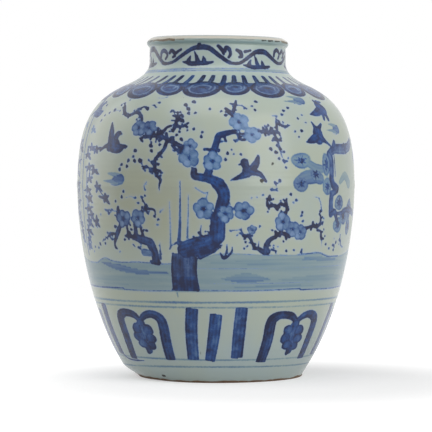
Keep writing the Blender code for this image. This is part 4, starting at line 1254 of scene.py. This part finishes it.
def rebate_rings(outline, joint):
    """Upper end of a section, under the slip: inner edge, ledge, face of the rebate."""
    middle = outline.middle(joint)
    rim = joint - SLIP_THICKNESS / 2
    ledge = rim - TONGUE_DEPTH
    face = middle + SLIP_THICKNESS / 2
    return [(outline.inner(ledge), ledge, BARE), (face, ledge, BARE), (face, rim, BARE)]


def band_edges(joint):
    """Lower and upper height of the band of slip wiped over a joint inside the pot."""
    centre = joint - TONGUE_DEPTH
    return centre - BAND_HEIGHT / 2, centre + BAND_HEIGHT / 2


def body_profile(outline, bottom, top, step):
    """Ring of the body between two joints, down its outside and up its inside."""
    outside = outline.outer_rings(bottom + SLIP_THICKNESS / 2, top - SLIP_THICKNESS / 2, step)
    inside = outline.inner_rings(band_edges(bottom)[1], band_edges(top)[0], BODY_INNER_STEP)
    return outside[::-1] + tongue_rings(outline, bottom) + inside + rebate_rings(outline, top)


def base_profile(outline, sizes, step):
    """Base bowl with its floor, foot ring and domed underside; both ends lie on the axis."""
    recess, floor_height = 0.007, 0.017
    ring_outer = sizes.foot_radius - 0.002
    ring_inner = ring_outer - 0.0085
    corner = floor_height + 0.030
    wall = (outline.inner(corner), corner)
    lean = math.atan2(outline.inner(corner + 0.003) - wall[0], 0.003)
    sweep = curve((0.058, floor_height), math.pi / 2, 0.024, wall, lean, 0.018)[::22]
    floor = [(radius, floor_height + 0.00025 * math.cos(radius * 700.0) * min(1.0, radius / 0.01), BARE)
             for radius in np.linspace(0.0, 0.056, 28)]
    sweep_rings = [(float(radius), float(height), BARE) for radius, height in sweep]
    inside = outline.inner_rings(corner + 0.004, band_edges(BASE_JOINT)[0], BOWL_INNER_STEP)
    outside = outline.outer_rings(outline.FOOT_BEVEL_HEIGHT, BASE_JOINT - SLIP_THICKNESS / 2, step)
    foot = [(ring_outer + 0.0012, 0.0011, BARE), (ring_outer + 0.0004, 0.0003, BARE), (ring_outer, 0.0, BARE),
            (ring_outer - 0.004, 0.0, BARE), (ring_inner, 0.0, BARE), (ring_inner - 0.0009, 0.0005, BARE),
            (ring_inner - 0.0015, 0.0015, BARE), (ring_inner - 0.0015, 0.0055, BARE),
            (ring_inner - 0.0021, 0.0067, BARE), (ring_inner - 0.0035, recess, BARE)]
    under = [(radius, recess + 0.0012 * (1.0 - (radius / ring_inner) ** 2), BARE)
             for radius in np.linspace(ring_inner - 0.010, 0.0, 16)]
    return (floor + sweep_rings + inside + rebate_rings(outline, BASE_JOINT) + outside[::-1] + foot
            + [(float(radius), height, rise) for radius, height, rise in under])


def lip_rings(outline, sizes):
    """Folded lip, from the neck's inside over the crest and the widest place to the crease outside."""
    level, down = math.pi / 2, math.pi
    inner = (sizes.neck_radius - sizes.neck_wall, LIP_TOP - sizes.lip_inner_height)
    crest = (LIP_RADIUS - sizes.lip_crest_inset, LIP_TOP)
    widest = (LIP_RADIUS, LIP_TOP - sizes.lip_slant_height)
    crease = outline.outside[-1]
    inside = curve(inner, 0.0, 0.0016, crest, level, 0.0016, 10)
    slant = curve(crest, level, 0.0025, widest, down, 0.0025, 16)
    under = curve(widest, down, 0.0018, crease, down + sizes.lip_under_lean, 0.0018, 12)
    outside = np.concatenate([slant, under[1:]])
    steps = np.linalg.norm(np.diff(outside, axis=0), axis=1) / MM
    rises = outline.way[-1] + steps.sum() - np.concatenate([[0.0], np.cumsum(steps)])
    return ([(float(radius), float(height), BARE) for radius, height in inside[:-1]]
            + [(float(radius), float(height), float(rise)) for (radius, height), rise in zip(outside, rises)])


def neck_profile(outline, sizes):
    """Neck collar with its folded lip, down its outside and up its inside."""
    lip = lip_rings(outline, sizes)
    outside = outline.outer_rings(NECK_JOINT + SLIP_THICKNESS / 2, outline.outside[-1][1], NECK_OUTER_STEP)
    inside = outline.inner_rings(band_edges(NECK_JOINT)[1], NECK_JOINT + sizes.neck_rise, NECK_INNER_STEP)
    # From where the neck is upright inside to just below the lip.
    heights = np.linspace(0.346, lip[0][1] - 0.001, 8)
    upper = [(outline.inner(height), float(height), BARE) for height in heights]
    return lip + outside[-2::-1] + tongue_rings(outline, NECK_JOINT) + inside + upper


def seam_profile(outline, joint):
    """Slip of one joint: flush outside, stepped round the tongue, wiped out as a band inside."""
    middle = outline.middle(joint)
    half = SLIP_THICKNESS / 2
    centre = joint - TONGUE_DEPTH
    low, high = band_edges(joint)
    outside = outline.outer_rings(joint - half, joint + half, SLIP_THICKNESS / 2)

    def back(height):
        return outline.inner(height) - SEAT_GAP

    return outside[::-1] + [
        (middle + half, joint - half, BARE),
        (middle + half, centre - half, BARE),
        (back(centre - half), centre - half, BARE),
        (back(low), low, BARE),
        (back(centre) - 0.9 * BAND_DEPTH, centre - 0.25 * BAND_HEIGHT, BARE),
        (back(centre) - BAND_DEPTH, centre, BARE),
        (back(centre) - 0.9 * BAND_DEPTH, centre + 0.25 * BAND_HEIGHT, BARE),
        (back(high), high, BARE),
        (back(centre + half), centre + half, BARE),
        (middle - half, centre + half, BARE),
        (middle - half, joint + half, BARE),
    ]


# Materials.


def add(tree, kind, inputs=(), **settings):
    """Adds a node: settings are its own values, inputs the values of its sockets or what feeds them.

    A dict names the sockets, and a row goes to the sockets in use in their order. A node
    gives its first output, and a hex name its linear colour.
    """
    node = tree.nodes.new("ShaderNode" + kind)
    for name, value in settings.items():
        setattr(node, name, value)
    if isinstance(inputs, dict):
        pairs = [(node.inputs[name], value) for name, value in inputs.items()]
    else:
        pairs = zip([socket for socket in node.inputs if socket.enabled], inputs)
    for socket, value in pairs:
        if isinstance(value, bpy.types.Node):
            value = next(output for output in value.outputs if output.enabled)
        if isinstance(value, bpy.types.NodeSocket):
            tree.links.new(value, socket)
            continue
        value = linear(value) if isinstance(value, str) else value
        socket.default_value = (*value, 1.0)[:4] if socket.type == "RGBA" else value
    return node


def fresh(name, colour):
    """A material with an empty Principled shader and its tree."""
    material = bpy.data.materials.new(name)
    material.use_nodes = True
    material.diffuse_color = (*colour, 1.0)
    return material, material.node_tree, material.node_tree.nodes["Principled BSDF"]


def glazed_porcelain(colours):
    """Porcelain, thrown and dipped: cobalt brushwork seen through a clear grey-blue feldspar glaze.

    The eye gets soft edges where the cobalt bled, darker heaps where it piled up, paler
    middles where the brush ran dry, and a glaze that turns bluer where it lies thick.
    """
    material, tree, shader = fresh("glazed_porcelain_underglaze_cobalt", colours.glaze)
    place = add(tree, "TexCoord").outputs["Object"]
    # Bled edge: grain of about 2 mm moves each edge by some tenths of a millimetre.
    bleed = add(tree, "TexNoise", (place, 420.0, 3.0))
    # Brush load: pools of 8 mm.
    load = add(tree, "TexNoise", (place, 120.0, 3.0))
    # Heaps of pigment: specks of about 1 mm.
    heap = add(tree, "TexNoise", (place, 900.0, 1.0))
    # Wash is laid in long pulls of the brush, so its streaks run round the jar: 70 mm long, 5 mm high.
    squeezed = add(tree, "Mapping", {"Vector": place, "Scale": (1.0, 1.0, 14.0)})
    streak = add(tree, "TexNoise", (squeezed, 14.0, 4.0))
    shift = add(tree, "Math", (bleed, 0.5), operation="SUBTRACT")

    amounts = {}
    for layer, edge, blur in (("ink", 1.1, 0.55), ("wash", 1.5, 0.8), ("iron", 0.8, 0.4), ("rust", 1.2, 0.5)):
        distance = add(tree, "Attribute", attribute_name=layer + "_mm").outputs["Fac"]
        tone = add(tree, "Attribute", attribute_name=layer + "_tone").outputs["Fac"]
        rough_edge = add(tree, "Math", (shift, edge, distance), operation="MULTIPLY_ADD")
        cover = add(tree, "MapRange", (rough_edge, blur, -blur), interpolation_type="SMOOTHSTEP")
        amounts[layer] = add(tree, "Math", (cover, tone), operation="MULTIPLY").outputs[0]

    # Ink gets lighter where the brush ran dry and darker in heaps.
    dry = add(tree, "MapRange", (load, 0.3, 0.7, 0.8, 1.14))
    ink = add(tree, "Math", (amounts["ink"], dry), operation="MULTIPLY")
    heaps = add(tree, "MapRange", (heap, 0.58, 0.74, 1.0, 1.2))
    ink = add(tree, "Math", (ink, heaps), operation="MULTIPLY")
    # It gathers along the edge of a stroke, too.
    ink_mm = add(tree, "Attribute", attribute_name="ink_mm").outputs["Fac"]
    rimmed = add(tree, "MapRange", (ink_mm, -2.6, -0.7, 0.97, 1.12))
    ink = add(tree, "Math", (ink, rimmed), operation="MULTIPLY")
    streaked = add(tree, "MapRange", (streak, 0.32, 0.68, 0.84, 1.14))
    wash = add(tree, "Math", (amounts["wash"], streaked), operation="MULTIPLY")
    # It dries darker along its edge.
    wash_mm = add(tree, "Attribute", attribute_name="wash_mm").outputs["Fac"]
    pooled = add(tree, "MapRange", (wash_mm, -2.2, -0.6, 1.0, 1.2))
    wash = add(tree, "Math", (wash, pooled), operation="MULTIPLY")
    pigment = add(tree, "Math", (ink, wash), operation="MAXIMUM")
    # A strong stroke over a wash grows a little darker still.
    both = add(tree, "Math", (ink, wash), operation="MULTIPLY")
    pigment = add(tree, "Math", (both, 0.12, pigment), operation="MULTIPLY_ADD")

    # Glaze: bluer at the foot, warmer and darker on the belly's left, paler on shoulder and neck, with clouds
    # of 40 mm.
    height = add(tree, "Attribute", attribute_name="height").outputs["Fac"]
    above = add(tree, "MapRange", (height, 0.270, 0.340, 0.0, 0.9), interpolation_type="SMOOTHSTEP")
    below = add(tree, "MapRange", (height, 0.085, 0.02, 0.0, 0.5), interpolation_type="SMOOTHSTEP")
    clouds = add(tree, "TexNoise", (place, 24.0, 2.0))
    patch = add(tree, "MapRange", (clouds, 0.35, 0.7, 0.0, 0.35))
    thick = add(tree, "Math", (below, patch), operation="ADD", use_clamp=True)
    glaze = add(tree, "Mix", (thick, colours.glaze, colours.glaze_thick), data_type="RGBA")
    glaze = add(tree, "Mix", (above, glaze, "#AFBFB7"), data_type="RGBA")
    # Warm grey patch of 250 by 150 mm on the belly left of the trunk: partly a smoke stain from the kiln,
    # partly painted shade where that side of the belly lies out of the light.
    patch = add(tree, "Mapping", {"Vector": place, "Location": (0.84, 1.53, -3.9),
                                  "Scale": (12.0, 12.0, 20.0)})
    off = add(tree, "VectorMath", (patch,), operation="LENGTH")
    smoke_and_shade = add(tree, "MapRange", (off.outputs["Value"], 1.5, 0.3, 0.0, 0.6), interpolation_type="SMOOTHSTEP")
    glaze = add(tree, "Mix", (smoke_and_shade, glaze, "#9A9C85"), data_type="RGBA")
    # Round painted places the glaze takes up a breath of blue.
    halo = add(tree, "MapRange", (ink_mm, 4.0, 0.0, 0.0, 0.24), interpolation_type="SMOOTHSTEP")
    glaze = add(tree, "Mix", (halo, glaze, "#A7B3C2"), data_type="RGBA")

    # Cobalt from a thin wash to a heap, in a bluer and in a more violet firing.
    violet = add(tree, "Attribute", attribute_name="violet").outputs["Fac"]
    # A thin stroke is a cleaner blue than a thin wash, which is greyed by the glaze.
    inked = add(tree, "Math", (ink, wash), operation="GREATER_THAN")
    shades = []
    for thin, brushed, full, heaped in (
            ("#7A97BE", colours.brushed_cobalt, colours.cobalt, colours.deep_cobalt),
            ("#8292B5", "#5A6A8C", "#2E3F66", colours.inky_cobalt)):
        pale = add(tree, "Mix", (inked, colours.pale_cobalt, thin), data_type="RGBA")
        shade = glaze
        for low, high, colour in ((0.0, 0.36, pale), (0.36, 0.56, brushed),
                                  (0.56, 0.78, full), (0.78, 1.04, heaped)):
            share = add(tree, "MapRange", (pigment, low, high))
            shade = add(tree, "Mix", (share, shade, colour), data_type="RGBA")
        shades.append(shade)
    hue = add(tree, "Math", (load, 0.5, violet), operation="MULTIPLY_ADD")
    hue = add(tree, "Math", (hue, 0.25), operation="SUBTRACT", use_clamp=True)
    painted = add(tree, "Mix", (hue, shades[0], shades[1]), data_type="RGBA")
    # Lip: teal where the glaze pooled in the crease, buff on its slant, blue-grey again on the crest.
    wander = add(tree, "TexNoise", (place, 70.0, 4.0))
    level = add(tree, "Math", (wander, 0.0012, height), operation="MULTIPLY_ADD")
    for low, high, colour in ((0.3600, 0.3612, "#8AA0A0"), (0.3657, 0.3665, "#CFC8BA"),
                              (0.3690, 0.3697, "#9AAAAE")):
        reached = add(tree, "MapRange", (level, low, high, 0.0, 0.85))
        painted = add(tree, "Mix", (reached, painted, colour), data_type="RGBA")
    rusty = add(tree, "Mix", (wander, colours.worn, "#77705A"), data_type="RGBA")
    painted = add(tree, "Mix", (amounts["rust"], painted, rusty), data_type="RGBA")
    specked = add(tree, "Mix", (amounts["iron"], painted, colours.iron), data_type="RGBA")

    # Pinholes: dark points under 1 mm, a few to each hand's breadth.
    cells = add(tree, "TexVoronoi", {"Vector": place, "Scale": 90.0}, feature="F1")
    pin = add(tree, "MapRange", (cells.outputs["Distance"], 0.045, 0.03))
    rare = add(tree, "SeparateColor", {"Color": cells.outputs["Color"]})
    chosen = add(tree, "Math", (rare, 0.93), operation="GREATER_THAN")
    pinhole = add(tree, "Math", (pin, chosen), operation="MULTIPLY")
    pinned = add(tree, "Mix", (pinhole, specked, "#5B564C"), data_type="RGBA")

    # Foot: bare clay below the glaze's wavy end, burnt brown where the flame licked it.
    foot_line = add(tree, "Math", (wander, 0.0045, height), operation="MULTIPLY_ADD")
    bare = add(tree, "MapRange", (foot_line, 0.0050, 0.0042))
    bare_colour = add(tree, "Mix", (load, colours.clay, "#5C3F2C"), data_type="RGBA")
    footed = add(tree, "Mix", (bare, pinned, bare_colour), data_type="RGBA")
    tree.links.new(footed.outputs["Result"], shader.inputs["Base Color"])

    # Glossy glaze, a little duller where worn, matt on bare clay.
    dulled = add(tree, "Math", (amounts["rust"], 0.25, 0.24), operation="MULTIPLY_ADD")
    roughness = add(tree, "Math", (bare, 0.6, dulled), operation="MULTIPLY_ADD", use_clamp=True)
    tree.links.new(roughness.outputs[0], shader.inputs["Roughness"])
    shader.inputs["IOR"].default_value = 1.5
    shader.inputs["Specular IOR Level"].default_value = 0.36
    # Orange-peel of the thick glaze, waves of 6 mm, and the pits of the pinholes.
    peel = add(tree, "TexNoise", (place, 160.0, 1.0))
    relief = add(tree, "Math", (pinhole, -1.2, peel), operation="MULTIPLY_ADD")
    bump = add(tree, "Bump", {"Height": relief, "Strength": 0.12, "Distance": 0.0006})
    tree.links.new(bump.outputs[0], shader.inputs["Normal"])
    return material


def fired_slip(colours):
    """Porcelain slip, wiped into the joints and fired: chalky, matt, with a fine grain of 0.5 mm."""
    material, tree, shader = fresh("fired_porcelain_slip", colours.slip)
    place = add(tree, "TexCoord").outputs["Object"]
    grain = add(tree, "TexNoise", (place, 1800.0, 2.0))
    stain = add(tree, "TexNoise", (place, 60.0, 3.0))
    colour = add(tree, "Mix", (stain, colours.slip, "#B6A68C"), data_type="RGBA")
    bump = add(tree, "Bump", {"Height": grain, "Strength": 0.4, "Distance": 0.0003})
    tree.links.new(colour.outputs["Result"], shader.inputs["Base Color"])
    tree.links.new(bump.outputs[0], shader.inputs["Normal"])
    shader.inputs["Roughness"].default_value = 0.62
    shader.inputs["IOR"].default_value = 1.5
    return material


def kiln_grit(colours):
    """Sand from the kiln floor, half melted into the foot: rough, brown and grey grains."""
    material, tree, shader = fresh("kiln_grit_sand", colours.clay)
    place = add(tree, "TexCoord").outputs["Object"]
    patch = add(tree, "TexNoise", (place, 260.0, 2.0))
    colour = add(tree, "Mix", (patch, "#4A3527", "#B9AD9A"), data_type="RGBA")
    tree.links.new(colour.outputs["Result"], shader.inputs["Base Color"])
    shader.inputs["Roughness"].default_value = 0.8
    shader.inputs["IOR"].default_value = 1.5
    return material


def bright_rays(tree):
    """One for rays of the camera and of mirror-like reflection or refraction, else zero."""
    rays = add(tree, "LightPath")
    seen = add(tree, "Math", (rays.outputs["Is Camera Ray"], rays.outputs["Is Glossy Ray"]), operation="ADD")
    seen = add(tree, "Math", (seen, rays.outputs["Is Transmission Ray"]), operation="ADD", use_clamp=True)
    return seen.outputs[0]


def white_paper(colours):
    """White paper sweep: the camera sees it white, and it still takes the jar's shadow."""
    material, tree, shader = fresh("white_paper_sweep", colours.paper)
    shader.inputs["Base Color"].default_value = (*colours.paper, 1.0)
    shader.inputs["Roughness"].default_value = 0.9
    place = add(tree, "TexCoord").outputs["Object"]
    # Away from a place right of and in front of the jar, the paper glows plain white to the camera and in
    # reflections: painted brightness in place of light. Nearer that place, more of the lit paper shows, and
    # with it the jar's shadow.
    moved = add(tree, "VectorMath", (place, (-0.06, 0.08, 0.0)), operation="ADD")
    away = add(tree, "VectorMath", (moved,), operation="LENGTH")
    fade = add(tree, "MapRange", (away.outputs["Value"], 0.14, 0.38, 0.38, 1.0),
               interpolation_type="SMOOTHSTEP")
    share = add(tree, "Math", (bright_rays(tree), fade), operation="MULTIPLY")
    white = add(tree, "Emission", {"Color": "#FFFFFF", "Strength": 1.2})
    mixed = add(tree, "MixShader", (share, shader, white))
    output = next(node for node in tree.nodes if node.type == "OUTPUT_MATERIAL")
    tree.links.new(mixed.outputs[0], output.inputs["Surface"])
    return material


def shared_material(name, make, colours):
    """The material of that name, made the first time that it is asked for."""
    return bpy.data.materials.get(name) or make(colours)


# Operators.


class JAR_OT_neck_collar(bpy.types.Operator):
    """Turns the neck collar with its folded lip and paints the wave round it."""

    bl_idname = "jar.neck_collar"
    bl_label = "Neck collar"

    def execute(self, context):
        sizes = context.scene.jar_sizes
        outline = Outline(sizes)
        painted_piece("neck_and_lip", neck_profile(outline, sizes), outline, sizes.neck_columns, True,
                      ["neck_collar"], "glazed_porcelain")
        return {"FINISHED"}


class JAR_OT_body_sections(bpy.types.Operator):
    """Turns the upper and the lower section of the body and paints the garden round them."""

    bl_idname = "jar.body_sections"
    bl_label = "Body sections"

    def execute(self, context):
        sizes = context.scene.jar_sizes
        outline = Outline(sizes)
        for name, node, bottom, top in (("shoulder_section", "upper_body", BELLY_JOINT, NECK_JOINT),
                                        ("belly_section", "lower_body", BASE_JOINT, BELLY_JOINT)):
            profile = body_profile(outline, bottom, top, sizes.mesh_step)
            painted_piece(name, profile, outline, sizes.body_columns, True, [node], "glazed_porcelain")
        return {"FINISHED"}


class JAR_OT_base_bowl(bpy.types.Operator):
    """Turns the base bowl with its foot ring and paints the lappet border on it."""

    bl_idname = "jar.base_bowl"
    bl_label = "Base bowl"

    def execute(self, context):
        sizes = context.scene.jar_sizes
        outline = Outline(sizes)
        profile = base_profile(outline, sizes, sizes.mesh_step)
        painted_piece("foot_and_base", profile, outline, sizes.body_columns, False, ["base_bowl"],
                      "glazed_porcelain")
        return {"FINISHED"}


class JAR_OT_slip_seams(bpy.types.Operator):
    """Turns the three seams of slip; outside they carry the glaze and the painting on."""

    bl_idname = "jar.slip_seams"
    bl_label = "Slip seams"

    def execute(self, context):
        sizes = context.scene.jar_sizes
        outline = Outline(sizes)
        for name, node, joint in (("base_luting", "base_slip_seam", BASE_JOINT),
                                  ("belly_luting", "belly_slip_seam", BELLY_JOINT),
                                  ("neck_luting", "neck_slip_seam", NECK_JOINT)):
            painted_piece(name, seam_profile(outline, joint), outline, sizes.body_columns, True, [node],
                          "luting_slip")
        return {"FINISHED"}


class JAR_OT_kiln_grit(bpy.types.Operator):
    """Scatters grains of kiln sand that stuck to the foot in the firing."""

    bl_idname = "jar.kiln_grit"
    bl_label = "Kiln grit"

    def execute(self, context):
        sizes = context.scene.jar_sizes
        chance = np.random.default_rng(7)
        grains = bmesh.new()
        for _ in range(sizes.grain_count):
            size = chance.uniform(0.0003, 0.0008)
            turn = chance.uniform(0.0, math.tau)
            height = chance.uniform(0.0012, 0.0040)
            radius = sizes.foot_radius - 0.0006 + 0.75 * max(0.0, height - Outline.FOOT_BEVEL_HEIGHT)
            if height < Outline.FOOT_BEVEL_HEIGHT:
                radius -= (Outline.FOOT_BEVEL_HEIGHT - height) * 0.5
            place = Vector(settle(np.array([[radius * math.sin(turn), -radius * math.cos(turn), height]]))[0])
            turned = Matrix.Rotation(chance.uniform(0.0, math.tau), 4,
                                     Vector(chance.normal(size=3)).normalized())
            squashed = Matrix.Diagonal((chance.uniform(0.7, 1.3), chance.uniform(0.7, 1.3), 0.8, 1.0))
            bmesh.ops.create_icosphere(grains, subdivisions=1, radius=size,
                                       matrix=Matrix.Translation(place) @ turned @ squashed)
        mesh = bpy.data.meshes.new("kiln_grit_grains")
        grains.to_mesh(mesh)
        grains.free()
        mesh.materials.append(shared_material("kiln_grit_sand", kiln_grit, context.scene.jar_colours))
        piece = bpy.data.objects.new("kiln_grit_grains", mesh)
        context.scene.collection.objects.link(piece)
        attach(piece, "root")
        return {"FINISHED"}


class JAR_OT_stage(bpy.types.Operator):
    """Lays the white floor, hangs the soft lights and sets the camera."""

    bl_idname = "jar.stage"
    bl_label = "Stage"

    def execute(self, context):
        scene = context.scene
        sheet = bmesh.new()
        bmesh.ops.create_grid(sheet, x_segments=1, y_segments=1, size=1.5)
        mesh = bpy.data.meshes.new("paper_floor")
        sheet.to_mesh(mesh)
        sheet.free()
        mesh.materials.append(white_paper(scene.jar_colours))
        floor = bpy.data.objects.new("paper_floor", mesh)
        scene.collection.objects.link(floor)

        self.softbox(scene, "key_softbox", (1.16, -1.24, 1.0), (1.3, 1.8), 17.5)
        self.softbox(scene, "side_softbox", (-1.50, 0.55, 0.75), (1.4, 1.7), 9.0)
        self.softbox(scene, "top_softbox", (-0.2, -0.6, 1.9), (1.5, 1.2), 11.5)

        # The camera and mirror-like reflections see a white room; the rest gets a dimmer one.
        world = bpy.data.worlds.new("pale_room")
        world.use_nodes = True
        tree = world.node_tree
        background = tree.nodes["Background"]
        background.inputs["Color"].default_value = (*linear("#FFFFFF"), 1.0)
        seen = bright_rays(tree)
        room = add(tree, "MapRange", (seen, 0.0, 1.0, 0.24, 1.0))
        tree.links.new(room.outputs[0], background.inputs["Strength"])
        scene.world = world

        lens = bpy.data.cameras.new("camera")
        lens.sensor_fit = "HORIZONTAL"
        lens.angle = CAMERA_ANGLE
        lens.dof.use_dof = False
        camera = bpy.data.objects.new("camera", lens)
        camera.location = CAMERA_PLACE
        aim = Vector(CAMERA_AIM) - camera.location
        camera.rotation_euler = aim.to_track_quat("-Z", "Y").to_euler()
        scene.collection.objects.link(camera)
        scene.camera = camera
        scene.view_settings.view_transform = "Standard"
        return {"FINISHED"}

    @staticmethod
    def softbox(scene, name, place, size, power):
        light = bpy.data.lights.new(name, "AREA")
        light.shape = "RECTANGLE"
        light.size, light.size_y = size
        light.energy = power
        lamp = bpy.data.objects.new(name, light)
        lamp.location = place
        lamp.rotation_euler = (Vector((0.0, 0.0, 0.18)) - lamp.location).to_track_quat("-Z", "Y").to_euler()
        scene.collection.objects.link(lamp)


OPERATORS = (JAR_OT_neck_collar, JAR_OT_body_sections, JAR_OT_base_bowl, JAR_OT_slip_seams, JAR_OT_kiln_grit,
             JAR_OT_stage)


class JAR_PT_panel(bpy.types.Panel):
    """Lists the steps of making the jar in the sidebar."""

    bl_idname = "JAR_PT_panel"
    bl_label = "Jar"
    bl_space_type = "VIEW_3D"
    bl_region_type = "UI"
    bl_category = "Jar"

    def draw(self, context):
        column = self.layout.column()
        for operator in OPERATORS:
            column.operator(operator.bl_idname)
        for group in (context.scene.jar_sizes, context.scene.jar_colours):
            for name in group.__annotations__:
                column.prop(group, name)


CLASSES = (JarSizes, JarColours, *OPERATORS, JAR_PT_panel)


def register():
    for item in CLASSES:
        bpy.utils.register_class(item)
    bpy.types.Scene.jar_sizes = PointerProperty(type=JarSizes)
    bpy.types.Scene.jar_colours = PointerProperty(type=JarColours)


def unregister():
    del bpy.types.Scene.jar_colours
    del bpy.types.Scene.jar_sizes
    for item in reversed(CLASSES):
        bpy.utils.unregister_class(item)


def main():
    register()
    bpy.ops.jar.neck_collar()
    bpy.ops.jar.body_sections()
    bpy.ops.jar.base_bowl()
    bpy.ops.jar.slip_seams()
    bpy.ops.jar.kiln_grit()
    bpy.ops.jar.stage()


if __name__ == "__main__":
    main()
